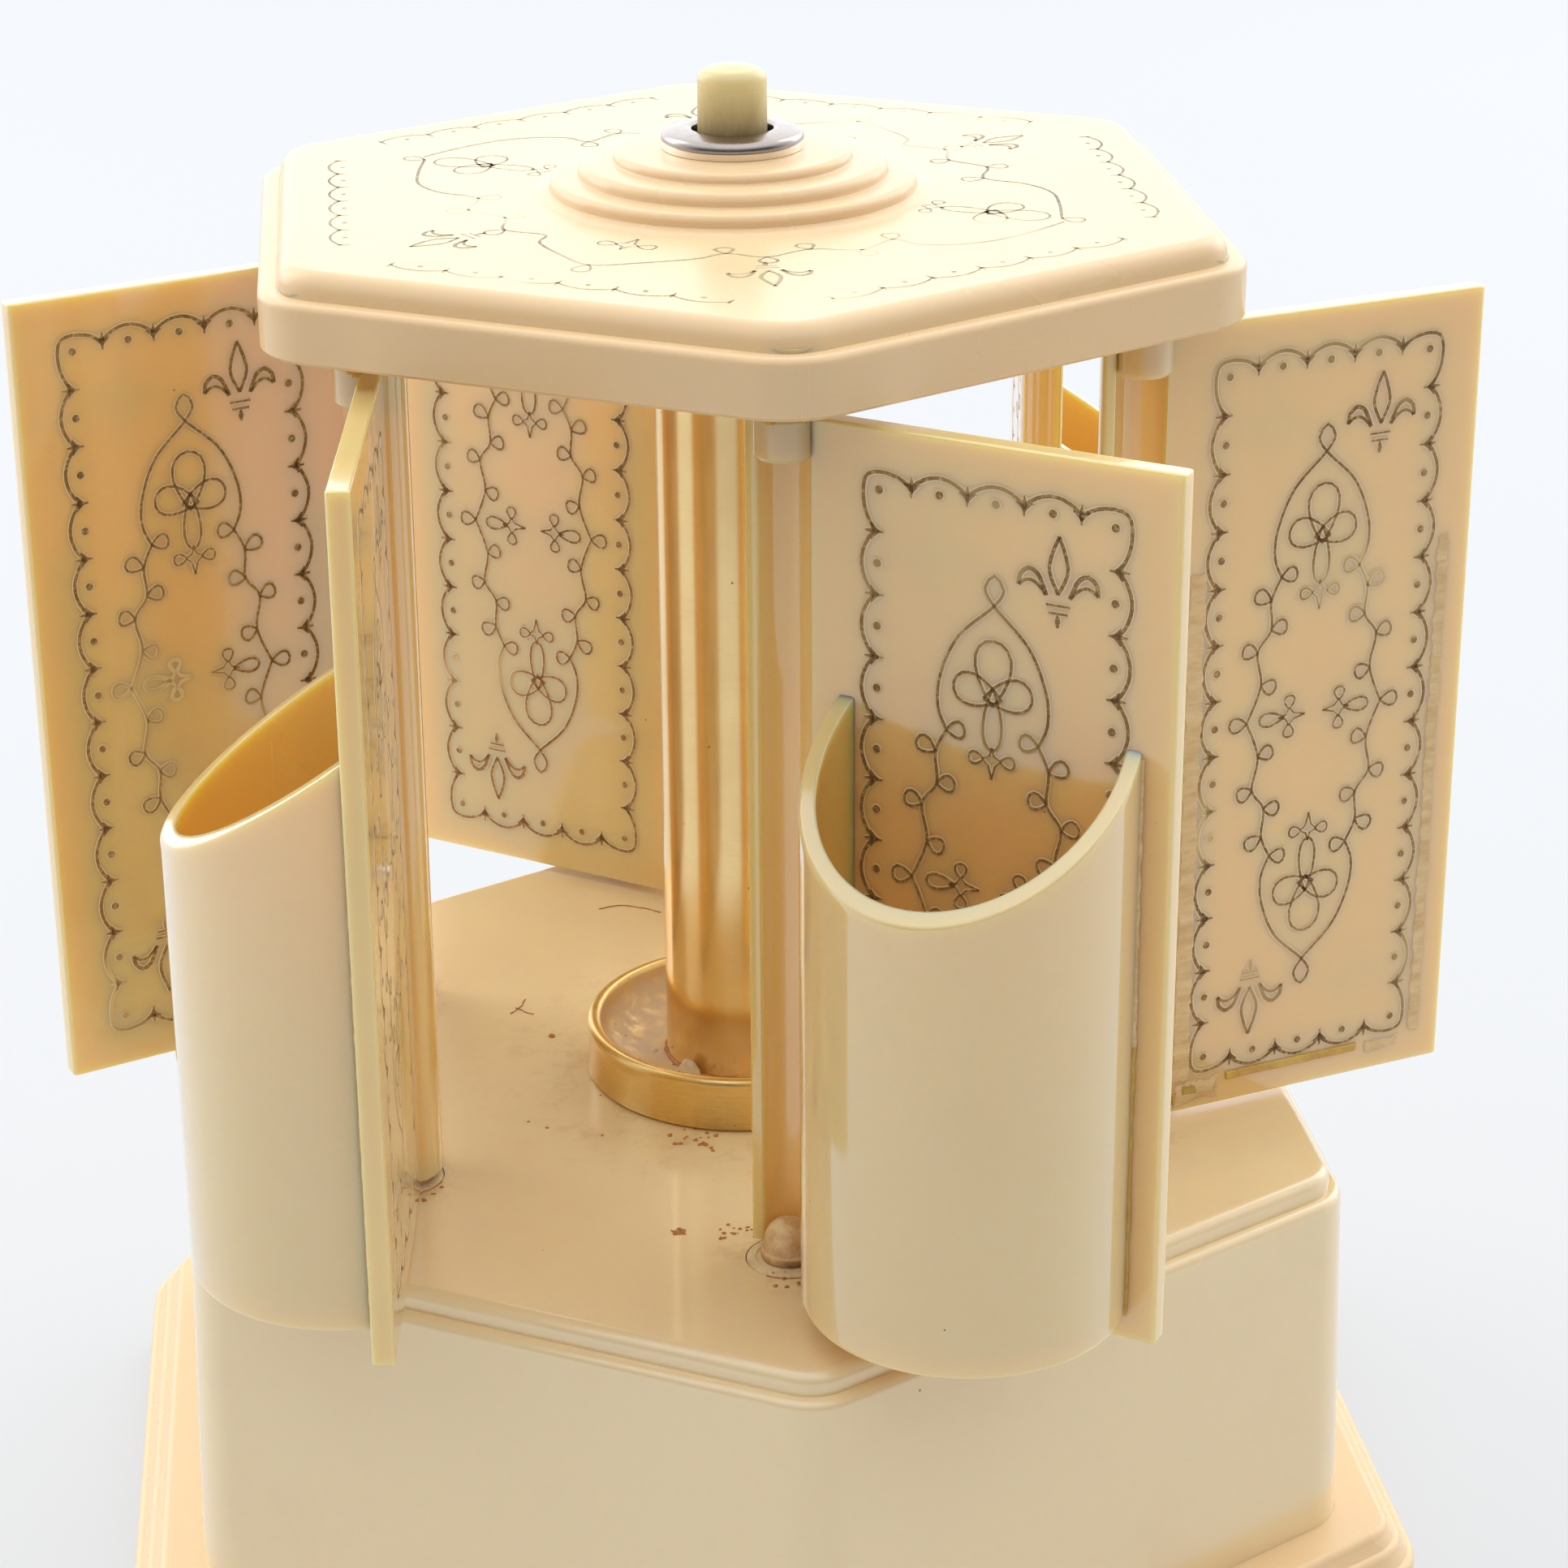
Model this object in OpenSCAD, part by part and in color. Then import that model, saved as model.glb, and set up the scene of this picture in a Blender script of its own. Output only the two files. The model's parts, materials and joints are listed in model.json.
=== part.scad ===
// Six-door musical carousel dispenser. Six hinged doors with slant-cut cups stand round a
// gilt column; a knob on the lid turns a sun gear in the base, and the doors swing together.
// Frame: +Z up, origin on the floor under the column, corner 1 of the hexagon at -Y.

/* [Base] */
// Corner radius of the hexagonal plinth, before its corners are rounded
plinth_r = 116; // [112:1:122]
// Height of the top of the plinth, where the base body stands
plinth_top = 17.6; // [16:0.2:20]
// Corner radius of the base body at its top edge
body_r = 100.6; // [99:0.2:102]
// How far the body's walls lean out towards the bottom
body_draft = 1.7; // [0:0.1:2.5]
// Height of the deck that the doors turn on
deck_z = 77.7; // [76:0.1:80]
// Wall thickness of the moulded base
wall = 3; // [2.5:0.1:3.5]
// Height of the rubber feet
foot_h = 2; // [1.5:0.1:3]

/* [Lid] */
// Corner radius of the hexagonal lid
lid_r = 80; // [78:0.5:82]
// Height of the lower edge of the lid's skirt
lid_z = 208.7; // [208.7:0.1:209]
// Height of the lid's skirt
skirt_h = 8.5; // [8:0.1:9]
// Height of the flat top above the skirt
crown_h = 3.6; // [3:0.1:4.5]

/* [Column] */
// Outer radius of the column
column_r = 12.2; // [12:0.1:12.6]
// Outer radius of the dish at the column's foot
dish_r = 25; // [22:0.2:25.2]
// Height of the dish
dish_h = 9; // [7:0.5:10]

/* [Doors] */
// Radius of the circle that the six door pivots stand on
pivot_r = 64; // [64:1:64]
// Length of a door from its pivot to its free edge
door_w = 57.9; // [55:0.1:58]
// Thickness of a door
door_t = 3.3; // [2.8:0.1:3.6]
// Height of a door's lower edge
door_z = 79.1; // [79:0.1:80]
// Height of a door
door_h = 126.7; // [120:0.1:127]
// Outer radius of the half-round hinge channel
channel_r = 6.2; // [5.6:0.1:6.4]
// Angle between an open door and the line from the column through its pivot
door_open = 54.6; // [50:0.2:56]
// Angle that door 2 lags behind the others, because it has slipped on its spindle
door_2_lag = 6.6; // [0:0.2:7]

/* [Cups] */
// Outer radius of a cup
cup_r = 23; // [20:0.2:23]
// Wall thickness of a cup
cup_wall = 2.4; // [1.8:0.1:2.6]
// Distance along the door from its pivot to the cup's axis
cup_s = 30.8; // [29:0.2:32]
// Distance of the cup's axis in front of the door
cup_n = 4.8; // [4:0.2:6]
// Height of the cup's lower edge above the door's
cup_lift = 2.9; // [2.5:0.1:6]
// Height of the rim where it meets the door
rim_z = 167.2; // [150:0.2:175]
// Fall of the slanted rim for each millimetre away from the door
rim_slope = 0.66; // [0.4:0.02:0.8]

/* [Knob] */
// Radius of the push button
button_r = 5.1; // [4.6:0.1:5.2]
// Height of the button's crown with the doors open
button_top = 239.2; // [237:0.2:240]
// Travel of the button
travel = 8; // [8:1:8]

/* [Gears] */
// Tooth size of the door gears, pitch diameter over teeth
gear_module = 2; // [2:1:2]
// Teeth of the sun gear
sun_teeth = 48; // [48:6:48]
// Teeth of each door pinion
pinion_teeth = 16; // [16:1:16]
// Clearance of each flank, so that no pair binds
backlash = 0.25; // [0.15:0.05:0.3]

/* [Hidden] */
$fn = 96;

// Colours
ivory = "#f3e3bd";
ivory_dark = "#dcc690";
gold = "#b98a3a";
brass = "#c9a24b";
steel = "#b9bcc0";
rubber = "#3a3836";

// Running clearance of a shaft in its bore, and an overlap that keeps cuts clean
run = 0.05;
cut = 1;

// Rounding of the moulded hexagons
corner_steps = 6;
edge_steps = 3;
plinth_fillet = 12;
body_fillet = 9.6;
lid_fillet = 12;
inner_fillet = 6;

// Plinth and body heights
plinth_steps = [[0, 12.2], [2.25, 15], [4.5, plinth_top]];
plinth_edge = 1.3;
plinth_bore_r = 102;
ring_t = 3;
ring_bore_r = 86;
cover_r = 96;
cover_t = 2.5;
cover_top = plinth_top - ring_t;
ledge_z = deck_z - 3.4;
ledge_w = 1.9;
deck_under = deck_z - 4.2;
post_r = 4.5;
post_at = 90;
screw_r = 1.6;
foot_at = 107.5;
foot_r = 5;

// Column and lid heights
plate_z = lid_z + 0.3;
plate_t = 2.5;
plate_r = 76.3;
neck_r = 10.5;
column_bore = 8.5;
column_z = deck_z + 2.6;
nut_r = 15;
nut_floor = 1.5;
lid_under = lid_z + 9.1;
lid_top = lid_z + skirt_h + crown_h;
dome_top = lid_top + 6.3;
dome_bore = 7.55;
bezel_r = 10.5;
bezel_bore = 5.9;
washer_t = 1.1;
bezel_t = 1.9;

// Moving stack in the base, from the lower plate up
stack_z = 48;
stack_t = 2.5;
sleeve_r = 8;
sleeve_z = 42;
sleeve_top = 66;
rod_r = 2.5;
rod_z = 39;
rod_top = 224;
pin_r = 1;
pin_z = 62;
pin_half = 7;
slot_w = 3.8;
slot_over = 1.6;
sun_z = 55.5;
sun_t = 5;
pinion_z = 55;
pinion_t = 6;
pressure_angle = 25;
spindle_r = 2.5;
bush_r = 6.2;
hub_r = 4.1;
drive_turn = 180 / PI;

// Music movement
bed_z = 17.2;
bed_t = 3;
bed_top = bed_z + bed_t;
barrel_at = [-30, 20];
barrel_r = 13;
barrel_h = 8;
barrel_gear_r = 16.5;
key_r = 2;
drum_r = 6.5;
drum_y = 24;
drum_z = 32;
drum_x0 = -9;
drum_x1 = 33;
crown_r = 8.4;
crown_x = drum_x0 - 7;
governor_at = [47, 0];
lever_x = 30;
lever_z = 36.5;
lever_pin_r = 1.25;

function corner_angle(n) = -90 + 60 * (n - 1);
function side_angle(n) = corner_angle(n) + 30;
function polar(r, a) = [r * cos(a), r * sin(a)];
function lag(n) = n == 2 ? door_2_lag : 0;

// Outline of a hexagon with rounded corners
function hex_outline(r, fillet) = [
    for (n = [1:6])
        for (i = [0:corner_steps])
            let (a = corner_angle(n), t = a - 30 + 60 * i / corner_steps)
                polar(r - fillet / cos(30), a) + polar(fillet, t)
];

// Quarter-round edge of a step: inset d from the outline, at height z, with edge radius e
function round_edge(d, z, e) = [
    for (i = [0:edge_steps])
        let (a = 90 * i / edge_steps)
            [d + e * (1 - cos(a)), z - e * (1 - sin(a))]
];

// Angle between a tooth's flank and its centre line, at radius r
function involute_angle(r, base) =
    let (t = sqrt(max(0, pow(r / base, 2) - 1))) t * 180 / PI - atan(t);
function flank_angle(r, base, pitch, teeth) =
    90 / teeth - backlash / pitch * 180 / PI
        + involute_angle(pitch, base) - involute_angle(max(r, base), base);

// Outline of an involute gear with its first tooth at angle 0
function gear_outline(teeth) =
    let (
        pitch = gear_module * teeth / 2,
        base = pitch * cos(pressure_angle),
        root = pitch - 1.25 * gear_module,
        tip = pitch + 0.9 * gear_module,
        start = max(root, base),
        radii = concat([root], [for (i = [0:3]) start + (tip - start) * i / 3])
    ) [
        for (k = [0:teeth - 1]) each concat(
            [for (r = radii)
                polar(r, 360 * k / teeth - flank_angle(r, base, pitch, teeth))],
            [for (i = [4:-1:0])
                polar(radii[i], 360 * k / teeth + flank_angle(radii[i], base, pitch, teeth))]
        )
    ];

module hex_slab(r, fillet, z0, z1)
    translate([0, 0, z0]) linear_extrude(z1 - z0) polygon(hex_outline(r, fillet));

// Solid lofted through insets of one rounded hexagon: profile is a list of [inset, height]
module hex_loft(r, fillet, profile) {
    m = 6 * (corner_steps + 1);
    rings = [
        for (p = profile)
            [for (q = hex_outline(r - p[0] / cos(30), fillet - p[0])) [q[0], q[1], p[1]]]
    ];
    last = (len(profile) - 1) * m;
    polyhedron(
        points = [for (ring = rings) each ring],
        faces = concat(
            [[for (i = [0:m - 1]) i]],
            [for (j = [0:len(profile) - 2]) for (i = [0:m - 1])
                [j * m + i, (j + 1) * m + i, (j + 1) * m + (i + 1) % m, j * m + (i + 1) % m]],
            [[for (i = [m - 1:-1:0]) last + i]]
        )
    );
}

module at_corner(n, r = pivot_r) rotate([0, 0, corner_angle(n)]) translate([r, 0, 0]) children();
module at_side(n, r) rotate([0, 0, side_angle(n)]) translate([r, 0, 0]) children();
// Door frame: origin on the pivot, +X along the door, cup side towards -Y
module at_door(n) at_corner(n) rotate([0, 0, door_open - lag(n)]) children();
module rod(r, z0, z1) translate([0, 0, z0]) cylinder(r = r, h = z1 - z0);

module plinth() color(ivory) difference() {
    hex_loft(plinth_r, plinth_fillet, concat(
        [[0, foot_h]],
        round_edge(plinth_steps[0][0], plinth_steps[0][1], plinth_edge),
        [[plinth_steps[1][0], plinth_steps[0][1]]],
        round_edge(plinth_steps[1][0], plinth_steps[1][1], plinth_edge),
        [[plinth_steps[2][0], plinth_steps[1][1]]],
        round_edge(plinth_steps[2][0], plinth_steps[2][1], plinth_edge)
    ));
    hex_slab(plinth_bore_r, inner_fillet, foot_h - cut, cover_top);
    hex_slab(ring_bore_r, inner_fillet, cover_top - cut, plinth_top + cut);
    for (n = [1:6]) at_corner(n, post_at) rod(screw_r + 0.2, cover_top - cut, plinth_top + cut);
}

module base_body() color(ivory) difference() {
    union() {
        difference() {
            hex_loft(body_r, body_fillet, concat(
                [[-body_draft, plinth_top]],
                round_edge(0, ledge_z, 1.5),
                [[ledge_w, ledge_z]],
                round_edge(ledge_w, deck_z, 2)
            ));
            hex_slab(body_r - wall / cos(30), inner_fillet, plinth_top - cut, deck_under);
        }
        for (n = [1:6]) at_corner(n, post_at) rod(post_r, plinth_top, deck_under + cut);
    }
    for (n = [1:6]) {
        at_corner(n, post_at) rod(screw_r, plinth_top - cut, plinth_top + 20);
        at_corner(n) rod(bush_r, deck_under - cut, deck_z + cut);
    }
    rod(neck_r + run, deck_under - cut, deck_z + cut);
}

module bottom_cover() color(ivory_dark) difference() {
    union() {
        hex_slab(cover_r, inner_fillet, cover_top - cover_t, cover_top);
        for (x = [-44, 38], y = [-4, 50]) translate([x, y, 0]) rod(3, cover_top - cut, bed_z);
    }
    for (n = [1:6]) at_corner(n, post_at) rod(screw_r + 0.2, cover_top - cover_t - cut, cover_top + cut);
    translate(barrel_at) rod(key_r + 2.5, cover_top - cover_t - cut, cover_top + cut);
}

module feet() color(rubber) for (n = [1:6]) at_corner(n, foot_at) rod(foot_r, 0, foot_h);

module base_screws() color(steel) for (n = [1:6]) at_corner(n, post_at) {
    rod(screw_r, cover_top - cover_t, plinth_top + 18);
    rod(3.2, cover_top - cover_t - 1.8, cover_top - cover_t);
}

// Flush bushes that carry the spindles in the deck
module deck_bushes() color(ivory_dark) for (n = [1:6]) at_corner(n) difference() {
    rod(bush_r, deck_under, deck_z + 0.2);
    rod(spindle_r + run, deck_under - cut, deck_z + cut);
}

// Spun dish that the column stands in
module column_foot() color(gold) rotate_extrude() polygon(concat(
    [[neck_r + run, deck_z], [dish_r, deck_z], [dish_r - 0.2, deck_z + dish_h - 2]],
    [for (a = [0:30:180]) [dish_r - 1.2 + cos(a), deck_z + dish_h - 1 + sin(a)]],
    [for (i = [1:5]) let (t = i / 5) [
        dish_r - 2.2 - (dish_r - 2.2 - column_r - 0.8) * (1 - cos(90 * t)),
        deck_z + dish_h - 1 - (dish_h - 3.6) * sin(90 * t)
    ]],
    [[neck_r + run, column_z]]
));

// Tube with a turned-down neck at each end for the nuts
module column_tube() color(gold) difference() {
    union() {
        rod(column_r, column_z, plate_z);
        rod(neck_r, deck_under - 4, column_z + cut);
        rod(neck_r, plate_z - cut, plate_z + plate_t + 3);
    }
    rod(column_bore, deck_under - 4 - cut, plate_z + plate_t + 3 + cut);
}

// Nut under the deck; its floor guides the push rod
module column_nut() color(brass) difference() {
    translate([0, 0, deck_under - 4 - nut_floor]) cylinder(r = nut_r, h = 4 + nut_floor, $fn = 6);
    rod(neck_r, deck_under - 4, deck_under + cut);
    rod(rod_r + run, deck_under - 4 - nut_floor - cut, deck_under);
}

module column_top_nut() color(brass) difference() {
    translate([0, 0, plate_z + plate_t]) cylinder(r = nut_r, h = 3, $fn = 6);
    rod(neck_r, plate_z, plate_z + plate_t + 3 + cut);
}

// Stepped dome on the lid, as a turned profile from the outside in
function dome_step(r, z, e) =
    [for (i = [0:4]) let (a = 22.5 * i) [r - e * (1 - cos(a)), z - e * (1 - sin(a))]];
module lid_dome() rotate_extrude() polygon(concat(
    [[0, lid_under + cut], [29, lid_under + cut], [29, lid_top + 0.3], [27.2, lid_top + 0.7]],
    dome_step(27, lid_top + 2.5, 1.3),
    [[22.8, lid_top + 2.7]],
    dome_step(22.8, lid_top + 4.5, 1.5),
    [[17.6, lid_top + 4.7]],
    dome_step(17.6, lid_top + 6.1, 1.2),
    [[bezel_r + 0.6, dome_top], [0, dome_top]]
));

module lid() color(ivory) difference() {
    union() {
        difference() {
            hex_loft(lid_r, lid_fillet, concat(
                [[0, lid_z]],
                round_edge(0, lid_z + skirt_h, 1.2),
                [[2.6, lid_z + skirt_h]],
                round_edge(2.8, lid_top, 3)
            ));
            hex_slab(lid_r - wall / cos(30), inner_fillet, lid_z - cut, lid_under);
        }
        lid_dome();
        for (n = [1:6]) at_side(n, 45) rod(4, plate_z + plate_t, lid_under + cut);
    }
    rod(dome_bore, lid_under - cut, dome_top + cut);
    for (n = [1:6]) at_side(n, 45) rod(1.5, plate_z, lid_under - 1);
}

// Plate under the lid that holds the upper door pivots
module lid_plate() color(ivory_dark) difference() {
    hex_slab(plate_r, inner_fillet, plate_z, plate_z + plate_t);
    rod(neck_r + run, plate_z - cut, plate_z + plate_t + cut);
    for (n = [1:6]) {
        at_corner(n) rod(screw_r + run, plate_z - cut, plate_z + plate_t + cut);
        at_side(n, 45) rod(1.7, plate_z - cut, plate_z + plate_t + cut);
    }
}

module lid_screws() color(steel) for (n = [1:6]) at_side(n, 45) {
    rod(1.5, plate_z, plate_z + plate_t + 4.5);
    rod(3, plate_z - 1.3, plate_z);
}

module bezel_washer() color(brass) difference() {
    rod(bezel_r - 0.1, dome_top, dome_top + washer_t);
    rod(dome_bore, dome_top - cut, dome_top + washer_t + cut);
}

module bezel_ring() color(steel) rotate_extrude() polygon(concat(
    [[bezel_bore, dome_top - 5], [dome_bore - run, dome_top - 5], [dome_bore - run, dome_top + washer_t]],
    [[bezel_r, dome_top + washer_t]],
    [for (a = [0:18:72]) [bezel_r - 1.2 + 1.2 * cos(a), dome_top + washer_t + 0.3 + 1.2 * sin(a)]],
    [for (p = [[0.5, 0.05], [0.15, 0.2], [0, 0.5]])
        [bezel_bore + p[0], dome_top + washer_t + bezel_t - p[1]]]
));

module button() color(ivory) difference() {
    rotate_extrude() polygon(concat(
        [[0, button_top - 25.2], [button_r, button_top - 25.2]],
        [for (a = [0:10:90]) [button_r * pow(cos(a), 0.5), button_top - 2.4 * (1 - pow(sin(a), 1.1))]]
    ));
    rod(rod_r, button_top - 25.2 - cut, rod_top);
}

module push_rod() color(steel) difference() {
    rod(rod_r, rod_z, rod_top);
    translate([0, 0, pin_z]) rotate([0, 90, 0]) cylinder(r = pin_r, h = 2 * rod_r + 2, center = true);
}

module cam_pin() color(steel)
    translate([0, 0, pin_z]) rotate([0, 90, 0]) cylinder(r = pin_r, h = 2 * pin_half, center = true);

// Sleeve with two helical slots: the pin comes down them and turns the sleeve by one radian
module cam_sleeve() color(brass) difference() {
    union() {
        rod(sleeve_r, sleeve_z, sleeve_top);
        rod(sleeve_r + 3, stack_z + stack_t + 0.1, stack_z + stack_t + 2.5);
    }
    rod(rod_r + 0.1, sleeve_z - cut, sleeve_top + cut);
    slot_h = travel + 2 * slot_over;
    translate([0, 0, pin_z - travel - slot_over])
        rotate([0, 0, -drive_turn * (travel + slot_over) / travel])
            linear_extrude(slot_h, twist = -drive_turn * slot_h / travel, slices = 14, segments = 4)
                square([3 * sleeve_r, slot_w], center = true);
}

module drive_gear() color(brass) translate([0, 0, sun_z]) difference() {
    linear_extrude(sun_t) polygon(gear_outline(sun_teeth));
    translate([0, 0, -cut]) cylinder(r = sleeve_r, h = sun_t + 2 * cut);
    for (n = [1:6]) at_side(n, 27) translate([0, 0, -cut]) cylinder(r = 9, h = sun_t + 2 * cut);
}

// Plate under the gears that carries the sleeve and the feet of the spindles
module gear_plate() color(steel) difference() {
    hex_slab(78, inner_fillet, stack_z, stack_z + stack_t);
    rod(sleeve_r + run, stack_z - cut, stack_z + stack_t + cut);
    for (n = [1:6]) at_corner(n) rod(spindle_r + run, stack_z - cut, stack_z + stack_t + cut);
}

module plate_pillars() color(steel) for (n = [1:6]) at_side(n, 61) rod(3.5, stack_z + stack_t, deck_under);

// Door: flat panel that ends in a half-round channel, the channel's hollow on the cup side
module door_panel(n) color(ivory) at_door(n) translate([0, 0, door_z]) linear_extrude(door_h) {
    difference() {
        circle(r = channel_r);
        circle(r = channel_r - 2);
        translate([-2 * channel_r, -2 * channel_r]) square([4 * channel_r, 2 * channel_r]);
    }
    translate([channel_r - 1.2, 0]) square([door_w - channel_r + 1.2, door_t]);
}

// Boss glued into the top of the channel, with the pin that turns in the lid plate
module top_pivot(n) color(ivory_dark) at_door(n) {
    rod(hub_r, door_z + door_h - 6, door_z + door_h + 0.2);
    rod(2.8, door_z + door_h, plate_z - 0.3);
    rod(screw_r, plate_z - 1, plate_z + plate_t - 0.3);
}

// Spindle glued into the foot of the channel, down to the plate under the gears
module spindle(n) color(ivory_dark) at_door(n) {
    rod(hub_r, deck_z + 0.4, door_z + 5);
    rod(spindle_r, stack_z - 1, deck_z + 1);
}

// Pinion with a gap between two teeth towards the sun gear
module pinion(n) color(brass) at_corner(n) rotate([0, 0, 180 + 180 / pinion_teeth])
    translate([0, 0, pinion_z]) difference() {
        linear_extrude(pinion_t) polygon(gear_outline(pinion_teeth));
        translate([0, 0, -cut]) cylinder(r = spindle_r, h = pinion_t + 2 * cut);
    }

// Cup: part of a tube closed by the door behind it, with a floor and a slanted rim
module cup(n) color(ivory) at_door(n) difference() {
    translate([cup_s, -cup_n, 0]) difference() {
        rod(cup_r, door_z + cup_lift, rim_z + cut);
        rod(cup_r - cup_wall, door_z + cup_lift + cup_wall, rim_z + 2 * cut);
    }
    translate([cup_s - 2 * cup_r, 0, 0]) cube([4 * cup_r, 2 * cup_r, 2 * rim_z]);
    reach = 2 * cup_r;
    translate([cup_s - reach, 0, 0]) rotate([90, 0, 90]) linear_extrude(2 * reach) polygon([
        [cut, rim_z + cut * rim_slope], [-reach, rim_z - reach * rim_slope],
        [-reach, 2 * rim_z], [cut, 2 * rim_z]
    ]);
}

// Bedplate of the music movement, with the two ears and the pin of the stop lever
module bedplate() color(brass) difference() {
    union() {
        translate([-50, -10, bed_z]) cube([104, 66, bed_t]);
        for (y = [-5, 3]) translate([lever_x - 3, y, bed_top - cut]) cube([6, 2, lever_z - bed_top + 4]);
        translate([lever_x, 0, lever_z]) rotate([90, 0, 0]) cylinder(r = lever_pin_r, h = 10, center = true);
    }
    translate(barrel_at) rod(key_r + run, bed_z - cut, bed_top + cut);
    rod(9, bed_z - cut, bed_top + cut);
    translate(governor_at) rod(1 + run, bed_z - cut, bed_top + cut);
}

module spring_barrel() color(brass) translate(barrel_at) difference() {
    union() {
        rod(barrel_gear_r, bed_top + 0.6, bed_top + 2.8);
        rod(barrel_r, bed_top + 0.6, bed_top + 0.6 + barrel_h);
    }
    rod(key_r + run, bed_top, bed_top + 2 + barrel_h);
}

// Wing key under the base and the arbor that winds the mainspring
module winding_key() color(steel) translate(barrel_at) {
    rod(key_r, 5, bed_top + 2 + barrel_h);
    rod(4, 5, 11);
    translate([-11, -1.25, 4]) cube([22, 2.5, 6]);
}

// Pinned cylinder with its crown wheel over the barrel's rim
module music_cylinder() color(brass) translate([0, drum_y, drum_z]) rotate([0, 90, 0]) {
    rod(drum_r, drum_x0, drum_x1);
    rod(crown_r, crown_x, crown_x + 2);
    rod(1.5, crown_x, drum_x1 + 4);
    for (i = [0:17], j = [0:2]) rotate([0, 0, 120 * j + 47 * i])
        translate([drum_r - 0.5, 0, drum_x0 + 3 + 2.1 * i])
            rotate([0, 90, 0]) cylinder(r = 0.3, h = 1.1, $fn = 8);
}

module cylinder_brackets() color(brass) for (x = [drum_x0 - 3.5, drum_x1 + 1]) difference() {
    translate([x, drum_y - 4, bed_top]) cube([2, 8, drum_z - bed_top + 4]);
    translate([x - cut, drum_y, drum_z]) rotate([0, 90, 0]) cylinder(r = 1.5 + run, h = 2 + 2 * cut);
}

// Comb on its block, one tooth for each row of pins
module music_comb() color(steel) {
    translate([drum_x0 + 2, drum_y + 16, bed_top]) cube([40, 9, drum_z - bed_top]);
    difference() {
        translate([drum_x0 + 2, drum_y + 7.6, drum_z]) cube([40, 17.4, 1]);
        for (i = [0:16]) translate([drum_x0 + 3.7 + 2.1 * i, drum_y + 7, drum_z - cut]) cube([0.7, 9, 3]);
    }
}

// Air-brake governor: shaft with two vanes
module governor() color(steel) translate(governor_at) {
    rod(1, bed_z, 38);
    rod(2.4, bed_top + 0.4, bed_top + 3);
    translate([-6, -0.5, 25]) cube([12, 1, 10]);
}

// Lever that the push rod tips as it comes down, to stop the governor
module stop_lever() color(steel) difference() {
    union() {
        translate([-4, -2.4, lever_z - 1]) cube([lever_x + 12, 4.8, 3]);
        translate([lever_x, 0, lever_z]) rotate([90, 0, 0]) cylinder(r = 3, h = 4.8, center = true);
    }
    translate([lever_x, 0, lever_z]) rotate([90, 0, 0]) cylinder(r = lever_pin_r + run, h = 8, center = true);
}

plinth();
base_body();
bottom_cover();
feet();
base_screws();
deck_bushes();
column_foot();
column_tube();
column_nut();
column_top_nut();
lid();
lid_plate();
lid_screws();
bezel_washer();
bezel_ring();
button();
push_rod();
cam_pin();
cam_sleeve();
drive_gear();
gear_plate();
plate_pillars();
door_panel(1);  // door_panel_1
door_panel(2);  // door_panel_2
door_panel(3);  // door_panel_3
door_panel(4);  // door_panel_4
door_panel(5);  // door_panel_5
door_panel(6);  // door_panel_6
top_pivot(1);  // top_pivot_1
top_pivot(2);  // top_pivot_2
top_pivot(3);  // top_pivot_3
top_pivot(4);  // top_pivot_4
top_pivot(5);  // top_pivot_5
top_pivot(6);  // top_pivot_6
spindle(1);  // spindle_1
spindle(2);  // spindle_2
spindle(3);  // spindle_3
spindle(4);  // spindle_4
spindle(5);  // spindle_5
spindle(6);  // spindle_6
pinion(1);  // pinion_1
pinion(2);  // pinion_2
pinion(3);  // pinion_3
pinion(4);  // pinion_4
pinion(5);  // pinion_5
pinion(6);  // pinion_6
cup(1);  // cup_1
cup(3);  // cup_3
cup(4);  // cup_4
cup(5);  // cup_5
cup(6);  // cup_6
bedplate();
spring_barrel();
winding_key();
music_cylinder();
cylinder_brackets();
music_comb();
governor();
stop_lever();
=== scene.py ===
"""Looks of a six-door musical carousel dispenser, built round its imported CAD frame.

Sizes are in millimetres until a mesh is made, where MM turns them into metres.
"""

import json
import math
import random

import bmesh
import bpy
from mathutils import Matrix, Vector


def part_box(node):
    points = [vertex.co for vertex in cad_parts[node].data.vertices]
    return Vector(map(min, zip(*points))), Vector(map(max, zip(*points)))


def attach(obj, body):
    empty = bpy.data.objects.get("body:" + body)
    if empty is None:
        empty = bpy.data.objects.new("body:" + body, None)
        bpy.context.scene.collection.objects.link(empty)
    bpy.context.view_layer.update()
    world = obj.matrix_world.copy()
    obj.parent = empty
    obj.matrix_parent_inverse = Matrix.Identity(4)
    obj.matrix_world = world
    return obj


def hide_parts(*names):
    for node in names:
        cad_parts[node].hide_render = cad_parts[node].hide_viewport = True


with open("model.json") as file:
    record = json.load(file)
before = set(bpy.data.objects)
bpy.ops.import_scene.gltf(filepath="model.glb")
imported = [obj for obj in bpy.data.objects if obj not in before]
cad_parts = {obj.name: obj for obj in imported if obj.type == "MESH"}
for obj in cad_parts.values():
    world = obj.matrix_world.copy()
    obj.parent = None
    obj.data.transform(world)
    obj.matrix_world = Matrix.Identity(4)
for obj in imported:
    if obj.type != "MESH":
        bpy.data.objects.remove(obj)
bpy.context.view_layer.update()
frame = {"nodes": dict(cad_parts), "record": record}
MM = 0.001
COS30 = math.cos(math.radians(30))
DOORS = range(1, 7)
CUP_DOORS = (1, 3, 4, 5, 6)


# ---------------- sizes from the frame
def low(node):
    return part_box(node)[0][2] / MM


def high(node):
    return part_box(node)[1][2] / MM


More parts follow.
